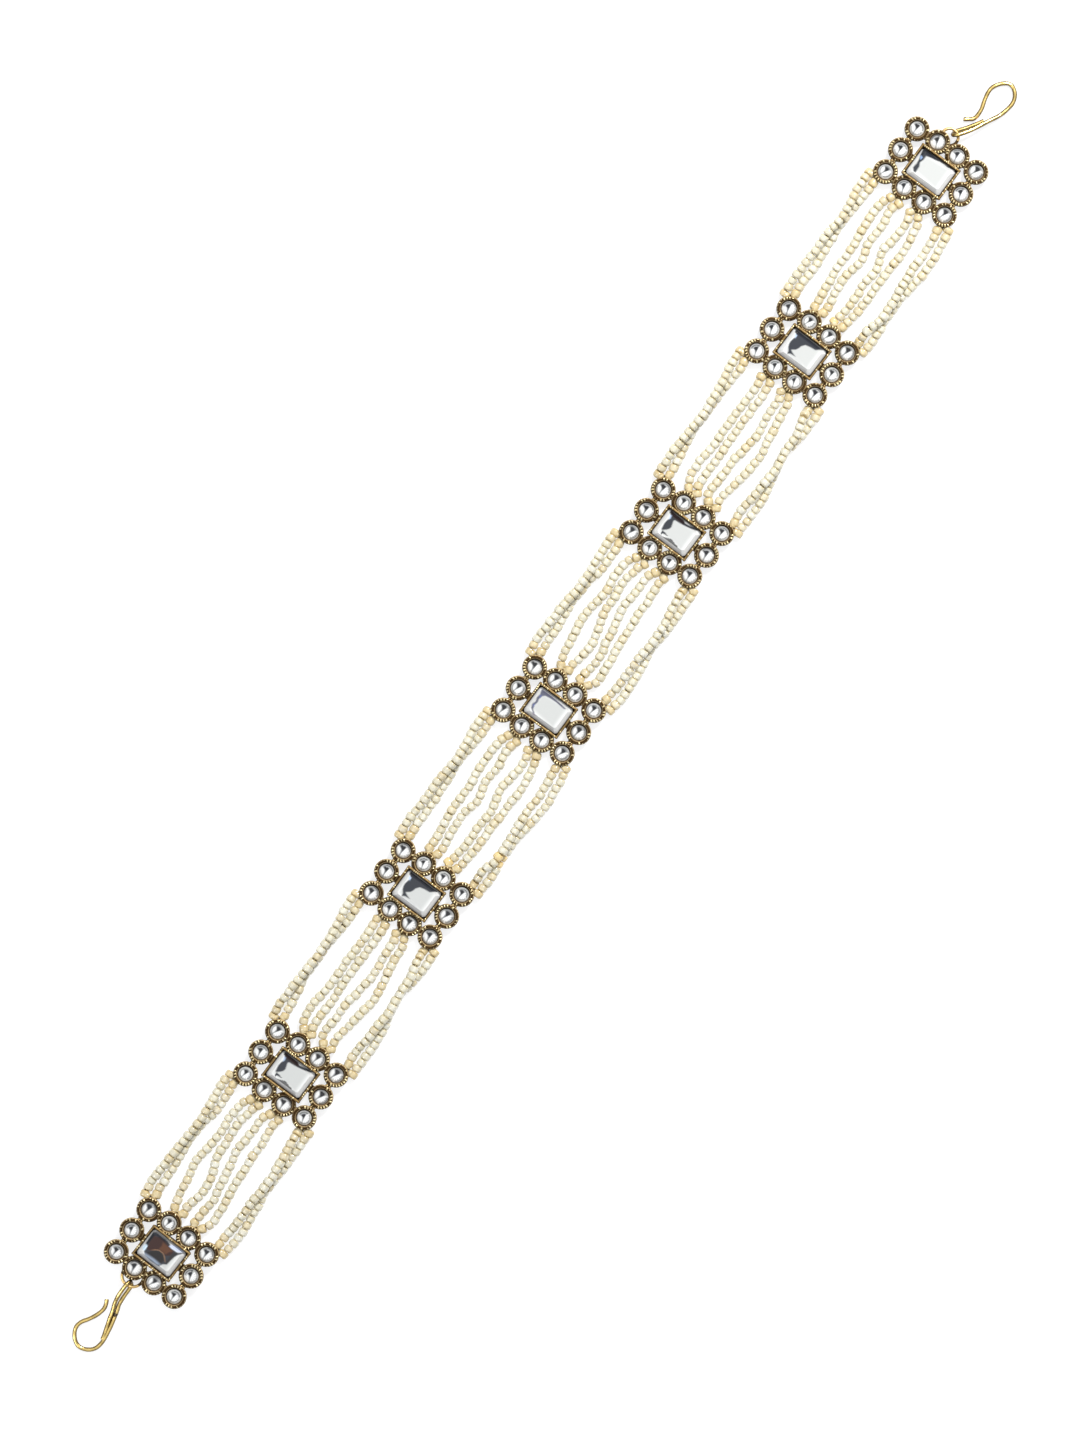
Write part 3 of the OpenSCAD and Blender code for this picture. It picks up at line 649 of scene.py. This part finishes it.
def make_chaton():
    """A round foiled stone: ten crown facets broken into kites, a table and a pointed back."""
    bpy.ops.mesh.primitive_circle_add(vertices=10, radius=STONE_R, fill_type="NGON",
                                      location=(0, 0, GIRDLE_Z))
    chaton = named("chaton", round_foil_reflection)
    set_place(chaton)
    open_edit(chaton)
    share = STONE_TABLE_R / STONE_R
    draw_crown(chaton, GIRDLE_Z, STONE_CROWN, share, share)
    bpy.ops.mesh.extrude_region_move(TRANSFORM_OT_translate={"value": (0, 0, -STONE_DEPTH)})
    bpy.ops.mesh.merge(type="CENTER")
    top = GIRDLE_Z + STONE_CROWN - 0.01
    pick(chaton, lambda spot, normal: GIRDLE_Z < spot.z < top)
    bpy.ops.mesh.poke(offset=0.05)
    pick(chaton, lambda spot, normal: GIRDLE_Z < spot.z < top)
    bpy.ops.mesh.subdivide(number_cuts=3)
    pick(chaton, lambda spot, normal: spot.z > top)
    bpy.ops.mesh.poke()
    pick(chaton, lambda spot, normal: spot.z > top)
    bpy.ops.mesh.subdivide(number_cuts=5)
    finish_edit()
    return chaton


# A round stone's mirror picture: patches as outline, softness, tone and strength, spokes as turns, and
# arcs as radius, first and last turn, tone and width
TOP_LIGHT = [(-1.5, .3), (-.5, .4), (0, .55), (.35, 1.1), (.4, 1.6), (-.6, 1.6), (-1.3, 1.1)]
LOW_LIGHT = [(-1.6, 0), (-.5, 0), (.3, -.15), (.95, -.25), (1.2, -.8), (.6, -1.6), (-.5, -1.7), (-1.4, -1.1)]
WING_SHADE = [(-1.8, .3), (-1.2, .22), (-.5, .35), (.1, .6), (.5, 1.3), (1, 1.2), (1.45, .5), (1.35, -.3),
              (.9, -.2), (.2, -.1), (-.6, .05), (-1.2, .1), (-1.8, -.1)]
WING = [(-.45, .15), (0, .3), (.3, .7), (.6, 1.1), (.95, .75), (1.1, .15), (.85, -.15), (.3, -.05)]
CHATON_PATCHES = [(TOP_LIGHT, 0.3, SNOW, 0.85), (LOW_LIGHT, 0.3, SNOW, 1), (WING_SHADE, 0.3, SLATE, 0.6),
                  (WING, 0.2, INK, 0.95)]
SPOKES = range(200, 341, 28)
SHADED_R, SHADE_BLEND, CUP_GLOW, CUP_SHADOW = 1.7, 0.12, (0.24, 0.17, 0.085), (0.03, 0.02, 0.012)
CHATON_ARCS = [(1.42, -75, 15, SLATE, 0.06), (1.18, -50, 20, SILVER, 0.06), (1.5, 100, 190, STEEL, 0.06),
               (1.45, -170, -100, STEEL, 0.04)]


def chaton_picture(spots, turn, size, pale):
    """The mirror picture in one round stone, with its own turn, size and paleness."""
    a = math.radians(-turn)
    flat = spots[:, :2] @ np.array([[math.cos(a), math.sin(a)], [-math.sin(a), math.cos(a)]]) / size
    colours = np.tile(blend(SILVER, PAPER, pale), (len(spots), 1))
    for outline, soft, tone, strength in CHATON_PATCHES:
        colours = patch(colours, flat, outline, soft, tone, strength)
    for radius, low, high, tone, width in CHATON_ARCS:
        arc = [turned((radius, 0), low + 3 * turn + (high - low) * k / 8) for k in range(9)]
        colours = stroke(colours, flat, arc, width + 0.04 * pale, 0.12, tone, 0.85)
    for spoke in SPOKES:
        line = [turned((0.75, 0), spoke), turned((1.6, 0), spoke)]
        colours = stroke(colours, flat, line, 0.03, 0.08, STEEL, 0.45)
    # the edge that the cup shades, darkest at the upper right
    far = np.hypot(spots[:, 0], spots[:, 1])
    edge = np.clip((far - SHADED_R) / SHADE_BLEND, 0, 1)
    shaded = np.clip(0.5 + 0.45 * (spots[:, 0] + spots[:, 1]) / np.maximum(far, 0.01), 0, 1)
    colours = lay_on(colours, 0.95 * edge, CUP_GLOW)
    return lay_on(colours, 0.9 * edge * shaded, CUP_SHADOW)


def paint_chaton(mesh, place):
    """Paints the reflection picture on a stone that has been moved to its place."""
    back = place.inverted()
    spots = points_of(mesh) @ np.array(back.to_3x3()).T + np.array(back.translation)
    look = chaton_picture(spots, luck.uniform(-24, 24), luck.uniform(0.86, 1.12), luck.uniform(0, 1))
    paint_layer(mesh, "foil", look)


chaton = make_chaton()
for i in range(SETTINGS):
    places = [on_setting(i) @ at(x, y) for x, y in COLLETS]
    stones = joined(f"round_foiled_stones_{i + 1}",
                    copies(chaton, places, lambda mesh, count: paint_chaton(mesh, places[count])))
    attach(stones, "root")
    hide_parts(f"round_stones_{i + 1}")
throw_away(chaton)


# Centre stones
def make_centre_cut():
    """The oblong stone: cut corners, a bevel all round, a flat table and a shallow back."""
    bpy.ops.mesh.primitive_plane_add(size=1, location=(0, 0, CENTRE_GIRDLE_Z))
    stone = named("centre_cut", centre_foil_reflection)
    stone.scale = (CENTRE_W, CENTRE_L, 1)
    set_place(stone)
    open_edit(stone)
    bpy.ops.mesh.select_all(action="SELECT")
    bpy.ops.mesh.bevel(offset=CENTRE_CORNER, segments=1, affect="VERTICES")
    draw_crown(stone, CENTRE_GIRDLE_Z, CENTRE_CROWN, (CENTRE_W - 2 * CENTRE_BEVEL) / CENTRE_W,
               (CENTRE_L - 2 * CENTRE_BEVEL) / CENTRE_L)
    bpy.ops.mesh.extrude_region_move(TRANSFORM_OT_translate={"value": (0, 0, -CENTRE_DEPTH)})
    bpy.ops.transform.resize(value=CENTRE_BACK, center_override=(0, 0, CENTRE_GIRDLE_Z))
    for axis, reach, steps in ((0, CENTRE_W, CENTRE_CUTS_X), (1, CENTRE_L, CENTRE_CUTS_Y)):
        for k in range(1, steps):
            cut = -reach / 2 + reach * k / steps
            pick(stone, lambda spot, normal: spot.z > CENTRE_GIRDLE_Z)
            bpy.ops.mesh.bisect(plane_co=(cut * (axis == 0), cut * (axis == 1), 0),
                                plane_no=(float(axis == 0), float(axis == 1), 0))
    finish_edit()
    return stone


# Each centre stone's mirror picture, as patches in the setting's millimetres: the dark band along
# the table's top and right edges, the darker strip on the right bevel, and the spike and streak at
# the left edge. Each patch has its outline, softness, tone and strength
BAND_TALL = [(-1.55, 3.45), (-.7, 3.6), (.1, 3.75), (.95, 3.65), (1.8, 3.4),
             (2.7, 3.75), (2.8, 4.3), (3.55, 4.4), (3.45, 2.5), (3.4, .4), (3.1, -.3), (3.2, -1.2),
             (3.55, -2.7), (3.6, -3.8), (3.15, -3.3), (2.7, -1.7), (2.45, -.4), (2.3, .6), (2.15, 2.1),
             (1.8, 2.3), (.95, 2), (.3, 1.8), (-.35, 1.95), (-.9, 2.4), (-1.35, 2.95)]
BAND_WIDE = [(-2.6, 2.6), (-1.8, 2.75), (-1.1, 3.35), (-.4, 3.65), (.3, 3.75), (1.4, 3.55), (2.1, 3.3),
             (2.6, 3.8), (2.7, 4.3), (3.5, 4.4), (3.4, 2), (3.45, 0), (3.4, -2), (3.4, -3.8), (2.85, -3),
             (2.2, -2.3), (2.05, -.9), (1.75, .3), (.9, .95), (.2, 1.1), (-.5, 1.45), (-1.2, 2.35),
             (-1.55, 1.7), (-1.95, .5), (-2.1, 1.9)]
BAND_THIN = [(-2.75, 2.5), (-1.95, 3.75), (-1, 4.05), (-.1, 3.8), (.9, 4.05), (2, 3.9), (3, 4.3),
             (3.3, 4.1), (3.25, 1.5), (3.15, -.2), (3, -1.5), (2.75, -3.2), (2.45, -2.8), (2.65, -.2),
             (2.55, 1.5), (2.35, 2.7), (1.9, 3.15), (.9, 3.4), (0, 3.2), (-1, 3.4), (-2, 3.1), (-2.5, 2.3)]
BAND_HIGH = [(-2.4, 2.85), (-2.45, 3.4), (-1.8, 4.05), (-.5, 3.95), (.6, 4.05), (2, 4.5), (3.6, 4.8),
             (3.65, 3), (3.55, 1), (3.6, -.2), (3.1, -.1), (2.8, 1), (2.55, 2.3), (2.3, 3.1), (1.2, 3.1),
             (.2, 3.4), (-.7, 2.95), (-1.7, 2.9)]
RIGHT_STRIP = [(2.4, 3.6), (3.55, 4.2), (3.45, .4), (3.05, -.2), (2.5, -.2), (2.4, .8)]
LEFT_SPIKE = [(-2.7, 2.8), (-2.3, 3), (-1.45, 3.15), (-1.6, 2.4), (-1.85, 1.2), (-2.05, 1.5), (-2.1, 2.5)]
LEFT_STREAK = [(-2.7, 2), (-2.4, 1.2), (-2.1, .5), (-1.95, .1), (-2.15, -.6), (-2.35, -1.3), (-2.5, -2.2),
               (-2.8, -2.2), (-2.75, -.5), (-2.8, .8)]
TALL = [(BAND_TALL, 0.3, SLATE, 1), (RIGHT_STRIP, 0.3, (0.02, 0.012, 0.012), 0.85),
        (LEFT_STREAK, 0.12, INK, 0.85), (LEFT_SPIKE, 0.12, SLATE, 1),
        ([(1.5, 3.35), (2.5, 3.9), (2.65, 3.4), (1.9, 3.2)], 0.3, SKY, 0.8)]
WIDE = [(BAND_WIDE, 0.3, SLATE, 1), ([(3.05, 4.2), (3.5, 4.2), (3.5, -3.4), (3.15, -2.6)], 0.3, INK, 0.7),
        ([(1.55, 3.2), (1.9, 3.8), (2.5, 3.9), (2.4, 3.3)], 0.3, SKY, 0.85),
        ([(-2.6, 2.4), (-2.2, 2), (-2.2, -1), (-2.6, -2)], 0.4, SILVER, 0.5)]
BROWN_ROOM = [
    ([(-.5, 4.5), (2.9, 4.7), (3.3, 4), (3.3, 1), (3.1, -.2), (2.4, -1), (2.5, -3), (3.7, -4.7), (2.2, -3.4),
      (1.2, -3), (0, -2.8), (-1.3, -2.7), (-1.8, -1.9), (-2.8, -1.4), (-3, 1), (-2.6, 3), (-2, 3.7),
      (-.6, 3.7)], 0.3, SLATE, 1),
    ([(-3, 2.8), (-2.3, 3.2), (-2, .5), (-2.2, -1.5), (-2.9, -.8)], 0.8, (0.33, 0.4, 0.52), 0.7),
    ([(-1.3, 3.3), (.3, 3.9), (2.4, 3.9), (2.8, 2.5), (2.7, .5), (2.4, -.8), (2, -2.2), (.9, -2),
      (.2, -1.2), (.4, -.2), (.4, .8), (-.2, 1.7), (-1, 2.4)], 0.35, UMBER, 0.95),
    ([(.6, 1.1), (1.5, 1), (2.4, 1.3), (2.3, -.6), (2.2, -2), (1.4, -1.3), (.5, -1), (.5, 0)], 0.5,
     (0.12, 0.045, 0.018), 0.75),
    ([(-1.2, 2.75), (-.1, 1.75), (.45, .8), (.4, -.35), (-.15, -1.3), (-1.1, -2.1), (-1.05, -1.9),
      (-.3, -1.1), (.2, -.3), (.25, .7), (-.25, 1.6)], 0.15, (0.3, 0.16, 0.08), 0.8),
    ([(-1.9, 2.9), (-1.2, 2.4), (-.5, 1.8), (.05, 1), (.2, .2), (0, -.6), (-.9, -1.6), (-1.9, -1.4)], 0.3,
     (0.014, 0.012, 0.012), 0.95),
    ([(-1.2, -2.2), (1.9, -2.1), (2.5, -3), (.6, -2.9), (-1.2, -2.6)], 0.3, (0.02, 0.018, 0.018), 0.8),
    ([(-2, 3.6), (-1.9, 4.3), (-1.2, 4.6), (-.4, 4.2), (-.6, 3.7), (-1.4, 3.6)], 0.3, (0.6, 0.75, 0.9), 1),
    ([(2.5, -.4), (3.2, -.8), (3.6, -2.4), (3.65, -4.1), (3.2, -3.9), (2.6, -2.8)], 0.25,
     (0.62, 0.7, 0.92), 0.9)]
THIN = [(BAND_THIN, 0.3, (0.1, 0.105, 0.15), 1),
        ([(-1.6, 3.3), (-1, 3.9), (-.6, 3.5)], 0.3, (0.1, 0.13, 0.32), 0.8),
        ([(1.1, 3.3), (1.6, 3.9), (2.1, 3.4)], 0.3, (0.1, 0.13, 0.32), 0.8),
        ([(-3.1, 2.4), (-2.6, 2.8), (-2.7, 1.4)], 0.3, (0.28, 0.24, 0.36), 0.7)]
HIGH = [(BAND_HIGH, 0.3, SLATE, 1),
        ([(.8, 3.7), (1.2, 4.3), (1.8, 4.2), (1.5, 3.6)], 0.3, (0.25, 0.38, 0.65), 0.9),
        ([(3.2, -.1), (3.65, -.1), (3.5, -2), (3.65, -3.9), (3.15, -2.6), (3.3, -1.6)], 0.2, SLATE, 0.9)]
PICTURES = [BROWN_ROOM, TALL, WIDE, THIN, TALL, WIDE, HIGH]
TABLE_SHEEN = [(-2.2, 3.6), (2.6, 3.6), (3.1, -3.5), (-2.9, -3.5)]


def centre_picture(spots, patches):
    """One centre stone's painted mirror picture, over a soft pale ground and a dotted bevel."""
    flat = spots[:, :2]
    colours = patch(np.tile(SNOW, (len(flat), 1)), flat, TABLE_SHEEN, 1.8, PAPER)
    bevel = np.clip(np.maximum(np.abs(flat[:, 0]) - 2.65, np.abs(flat[:, 1]) - 3.9) / 0.3, 0, 1)
    colours = lay_on(colours, 0.2 * bevel * (flat[:, 1] > -3.6), SILVER)
    for outline, soft, tone, strength in patches:
        colours = patch(colours, flat, outline, soft, tone, strength)
    dots = (np.round(flat[:, 0] * 5) + np.round(flat[:, 1] * 5)) % 2
    colours = lay_on(colours, 0.16 * bevel * dots, INK)
    # painted shadow of the bezel, dark along the stone's edge
    rim = np.maximum(np.abs(flat[:, 0]) / 3.7, np.abs(flat[:, 1]) / 4.95)
    return lay_on(colours, 0.75 * np.clip((rim - 0.955) / 0.04, 0, 1), (0.1, 0.08, 0.06))


centre_cut = make_centre_cut()
for i in range(SETTINGS):
    mesh = centre_cut.data.copy()
    paint_layer(mesh, "foil", centre_picture(points_of(mesh), PICTURES[i]))
    mesh.transform(on_setting(i))
    stone = bpy.data.objects.new(f"centre_foiled_stone_{i + 1}", mesh)
    mesh.name = stone.name
    scene.collection.objects.link(stone)
    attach(stone, "root")
    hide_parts(f"centre_stone_{i + 1}")
throw_away(centre_cut)


# The settings are the solids' own meshes
for i in range(SETTINGS):
    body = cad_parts[f"setting_{i + 1}"]
    body.data.materials.clear()
    body.data.materials.append(antique_gold)


# Bead strings
def eye_spot(pair, side):
    """Where a pair's thread eye lies on its setting."""
    a = math.radians(EYE_TURNS[pair])
    column = WAIST_X if pair in (1, 2) else CORNER_X
    return side * (column + EYE_REACH * math.cos(a)), COLUMN[pair] + EYE_REACH * math.sin(a)


def end_points(gap, pair, high, side):
    """The bends between an eye and a string's first bead, from the eye outwards."""
    i = gap if side > 0 else gap + 1
    a = math.radians(EYE_TURNS[pair])
    eye = placed(i, eye_spot(pair, side))
    out = turned((side * math.cos(a), math.sin(a)), LAY[i][2])
    way = turned((-side * math.sin(a), math.cos(a)), LAY[i][2])
    rings = EDGE_END if (high and pair == 0) or (not high and pair == 3) else INNER_END
    up = 1 if high else -1
    return [Vector((eye[0] + (out[0] * u + way[0] * v * up) * BEAD_D,
                    eye[1] + (out[1] * u + way[1] * v * up) * BEAD_D, STRING_Z)) for u, v in rings]


def spread(strings, k):
    """How far the two strings of a pair lie apart at a station, or half way to the next."""
    a, b = math.floor(k), math.ceil(k)
    return (strings[0][a] + strings[0][b] - strings[1][a] - strings[1][b]) / 2 * BEAD_D


def ride_height(strings, k):
    """How high the upper string rides where the two lie closer than side by side."""
    return max(math.sqrt(max(0, STRING_STEP ** 2 - spread(strings, near) ** 2))
               for near in (k - 0.5, k, k + 0.5) if 0 <= near <= len(STATIONS) - 1)


def station(gap, pair, high, k):
    """Where a string lies at one of its stations."""
    strings = STRINGS[gap % 3][pair]
    left, right = placed(gap, eye_spot(pair, 1)), placed(gap + 1, eye_spot(pair, -1))
    x = (middle(gap)[0] + middle(gap + 1)[0]) / 2 + STATIONS[k] * HALF_GAP
    line = left[1] + (right[1] - left[1]) * (x - left[0]) / (right[0] - left[0])
    return Vector((x, line + strings[0 if high else 1][k] * BEAD_D,
                   STRING_Z + (ride_height(strings, k) if high else 0)))


def between(a, b, c, d, u):
    """The point at share u from b to c on a smooth curve that also heeds a and d."""
    return 0.5 * (2 * b + (c - a) * u + (2 * a - 5 * b + 4 * c - d) * u ** 2
                  + (3 * b - a - 3 * c + d) * u ** 3)


def smooth_run(bends, steps):
    """A smooth run of points through the bends."""
    bends = [Vector(p) for p in bends]
    last = len(bends) - 1
    run = [between(bends[max(i - 1, 0)], bends[i], bends[i + 1], bends[min(i + 2, last)], s / steps)
           for i in range(last) for s in range(steps)]
    return run + [bends[last]]


def walk(run, pitch):
    """Even steps of about one pitch along a run, each with its place and its heading."""
    lengths = [0.0]
    for a, b in zip(run, run[1:]):
        lengths.append(lengths[-1] + (b - a).length)
    gaps = round(lengths[-1] / pitch)
    steps = []
    for k in range(gaps + 1):
        want = lengths[-1] * k / gaps
        i = next((n for n in range(1, len(run)) if lengths[n] >= want - 1e-9), len(run) - 1)
        share = (want - lengths[i - 1]) / (lengths[i] - lengths[i - 1])
        steps.append((run[i - 1].lerp(run[i], share), (run[i] - run[i - 1]).normalized()))
    return steps


def make_seed_bead():
    """A rounded barrel of a bead, dimpled where its thread goes in."""
    bpy.ops.mesh.primitive_cylinder_add(vertices=10, radius=0.5, depth=0.86, end_fill_type="NGON",
                                        location=(0, 0, 0))
    bead = named("seed_bead", pearl)
    set_place(bead)
    open_edit(bead)
    shape = bmesh.from_edit_mesh(bead.data)
    bpy.ops.mesh.select_mode(type="EDGE")
    bpy.ops.mesh.select_all(action="DESELECT")
    for edge in shape.edges:
        if abs(edge.verts[0].co.z - edge.verts[1].co.z) < 0.01:
            edge.select_set(True)
    bmesh.update_edit_mesh(bead.data)
    bpy.ops.mesh.bevel(offset=0.25, segments=3, profile=0.5)
    for end in (-1, 1):
        pick(bead, lambda spot, normal: normal.z * end > 0.9)
        bpy.ops.mesh.inset(thickness=0.1, depth=-0.08)
    finish_edit()
    take(bead)
    bpy.ops.object.shade_smooth()
    # painted highlight round the belly, painted shade golden at the shoulders where beads meet and brown in
    # the hole
    spots = points_of(bead.data)
    end = np.clip((np.abs(spots[:, 2]) - 0.12) / 0.2, 0, 1)
    hole = np.clip((0.3 - np.hypot(spots[:, 0], spots[:, 1])) / 0.1, 0, 1)
    colours = lay_on(np.tile((1.06, 1.08, 1.12), (len(spots), 1)), end, (0.95, 0.87, 0.68))
    paint_layer(bead.data, "bead_lustre", lay_on(colours, hole, (0.88, 0.75, 0.54)))
    return bead


CREAM, IVORY, PEARL, HONEY, AMBER = ((0.64, 0.6, 0.46), (0.69, 0.67, 0.55), (0.73, 0.73, 0.67),
                                     (0.62, 0.5, 0.27), (0.78, 0.62, 0.32))
# Where a few deep yellow beads lie, as places along and across the band
AMBER_SPOTS = [(-44, -2), (-36, -11), (116, -2)]


def bead_colour(spot, end_share):
    """A bead's tint: cream with its own chance share of ivory or pearl, and honey near the collets."""
    if any(math.hypot(spot.x - x, spot.y - y) < 1.2 for x, y in AMBER_SPOTS):
        return AMBER
    colour = blend(blend(CREAM, IVORY, luck.random()), PEARL, 0.8 * luck.random() ** 2)
    if luck.random() < 0.12:
        colour = blend(colour, HONEY, 0.4)
    return blend(colour, HONEY, 0.85 * end_share)


def wire_mesh(name, points, width, metal, fineness, swell=None, closed=False):
    """A round wire or thread through points in metres, made a mesh."""
    data = bpy.data.curves.new(name, "CURVE")
    data.dimensions = "3D"
    data.bevel_depth = width / 2 * MM
    data.bevel_resolution = fineness
    data.use_fill_caps = not closed
    line = data.splines.new("POLY")
    line.points.add(len(points) - 1)
    for k, (point, p) in enumerate(zip(line.points, points)):
        point.co = (*p, 1)
        point.radius = swell[k] if swell else 1
    line.use_cyclic_u = closed
    wire = bpy.data.objects.new(name, data)
    scene.collection.objects.link(wire)
    take(wire)
    bpy.ops.object.convert(target="MESH")
    wire = bpy.context.object
    wire.data.materials.clear()
    wire.data.materials.append(metal)
    return wire


def turn_along(heading):
    """The turn that points a bead's hole along a heading."""
    return heading.to_track_quat("Z", "Y").to_matrix().to_4x4()


def bead_place(spot, heading):
    """One bead's place, a little off its line, and its tilt, turn and size by chance."""
    size = BEAD_D * luck.uniform(1.02, 1.18)
    aside = heading.cross(Vector((0, 0, 1))) * luck.uniform(-0.13, 0.13)
    tilt = (Matrix.Rotation(luck.uniform(-0.13, 0.13), 4, "X")
            @ Matrix.Rotation(luck.uniform(-0.13, 0.13), 4, "Y"))
    spin = Matrix.Rotation(luck.uniform(0, 6.28), 4, "Z")
    length = size * luck.uniform(0.88, 0.96)
    return (Matrix.Scale(MM, 4) @ Matrix.Translation(spot + aside) @ Matrix.Diagonal((1, 1, BEAD_SQUASH, 1))
            @ turn_along(heading) @ tilt @ spin @ Matrix.Diagonal((size, size, length, 1)))


def end_bead_place(bend, towards):
    """The place of the bead that ends a string, just before its thread eye."""
    return (Matrix.Scale(MM, 4) @ Matrix.Translation(bend.lerp(towards, 0.1)) @ turn_along(towards - bend)
            @ Matrix.Diagonal(END_BEAD))


def loop_of_beads(gap, pair, label):
    """A pair's two strings of beads on one closed thread, as one piece."""
    places, tints, lines = [], [], []
    for high in (True, False):
        left, right = end_points(gap, pair, high, 1), end_points(gap, pair, high, -1)
        bends = [station(gap, pair, high, k) for k in range(len(STATIONS))]
        run = smooth_run([left[2]] + bends + [right[2]], 8)
        steps = walk(run, BEAD_PITCH)
        for k, (spot, heading) in enumerate(steps):
            places.append(bead_place(spot, heading))
            tints.append(bead_colour(spot, max(0, 1 - min(k, len(steps) - 1 - k) / 2)))
        for end, towards in ((left, run[0]), (right, run[-1])):
            places.append(end_bead_place(end[1], towards))
            tints.append(blend(HONEY, CREAM, luck.uniform(0, 0.4)))
        lines.append(left[:2] + run + right[1::-1])
    left_eye = Vector((*placed(gap, eye_spot(pair, 1)), STRING_Z))
    right_eye = Vector((*placed(gap + 1, eye_spot(pair, -1)), STRING_Z))
    line = [left_eye] + lines[0] + [right_eye] + lines[1][::-1]
    beads = copies(seed_bead, places, lambda mesh, count: tint_all(mesh, "bead_tint", tints[count]))
    thread = wire_mesh(f"thread_{label}", [p * MM for p in line], THREAD_D, thread_white, 1, closed=True)
    return joined(f"seed_beads_{label}", beads + [thread])


seed_bead = make_seed_bead()
for gap in range(SETTINGS - 1):
    for pair, letter in enumerate("abcd"):
        beads = loop_of_beads(gap, pair, f"{gap + 1}{letter}")
        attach(beads, "root")
        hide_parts(f"bead_loop_{gap + 1}{letter}")
throw_away(seed_bead)


# Hooks
def eye_bends(heading):
    """The bends of a hook's eye, from over its bail to under it."""
    a = math.radians(heading)
    along, side = Vector((math.cos(a), math.sin(a), 0)), Vector((-math.sin(a), math.cos(a), 0))
    bends = []
    for step in range(90, 271, 30):
        t = math.radians(step)
        across = (90 - step) / 90 + 1
        bends.append(along * LINK_R * math.cos(t) + Vector((0, 0, LINK_R * (1 + math.sin(t))))
                     + side * EYE_SIDE * HOOK_WIRE * across)
    return bends


GILT, GILT_SIDE_SHADE = (1, 0.74, 0.27), (0.11, 0.058, 0.01)


def bent_wire(name, bends, place, metal=wire_gold):
    """A smooth round wire through its bends, with closed ends and a slightly uneven thickness."""
    run = smooth_run(bends, 5)
    swell = [0.8] + [0.97 + 0.03 * math.sin(k * 0.9) for k in range(1, len(run))]
    wire = wire_mesh(name, [place @ p for p in run], HOOK_WIRE, metal, 3, swell)
    open_edit(wire)
    finish_edit()
    take(wire)
    bpy.ops.object.shade_smooth_by_angle(angle=math.radians(50))
    # painted light, bright along the top that faces the light overhead, and painted shade brown down the
    # sides
    up = np.array([point.normal.z for point in wire.data.vertices])
    brown = 1 - np.clip((up - 0.45) / 0.5, 0, 1)
    paint_layer(wire.data, "wire_shade", lay_on(np.tile(GILT, (len(up), 1)), brown, GILT_SIDE_SHADE))
    return wire


def crossing(i, bail):
    """Where the hook's eye crosses the bail of setting i."""
    x, y, r, a = bail
    return placed(i, (x + r * math.cos(math.radians(a)), y + r * math.sin(math.radians(a))))


def vectors(points):
    return [Vector(p) for p in points]


at_left = (Matrix.Scale(MM, 4) @ Matrix.Translation((*crossing(0, LEFT_BAIL), HOOK_Z))
           @ Matrix.Diagonal((-1, 1, 1, 1)))
# the dark piece stands for the cut ends and is painted shade in the gap between them
ends_and_gap_shade = bent_wire("left_ends_and_gap_shade", LEFT_ENDS_AND_GAP_SHADE, at_left, end_and_gap_shade)
hairpin = vectors(LEFT_LONG_LEG) + eye_bends(-10) + vectors(LEFT_SHORT_LEG)
left_hook = joined("hook_wire_left", [bent_wire("left_loop", LEFT_LOOP, at_left), ends_and_gap_shade,
                                      bent_wire("left_hairpin", hairpin, at_left)])
at_right = Matrix.Scale(MM, 4) @ Matrix.Translation((*crossing(SETTINGS - 1, RIGHT_BAIL), HOOK_Z))
folded = [Vector((p.x, -p.y, p.z)) for p in eye_bends(31)]
right_hook = bent_wire("hook_wire_right", vectors(RIGHT_LOOP) + folded + vectors(RIGHT_SHORT_LEG), at_right)
for hook, node in ((left_hook, "hook_left"), (right_hook, "hook_right")):
    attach(hook, "root")
    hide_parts(node)


# Table
TABLE_SIZE, TABLE_Z = 6, -0.00002
bpy.ops.mesh.primitive_plane_add(size=TABLE_SIZE, location=(0, 0, TABLE_Z))
table = named("table", table_white)
put_down()
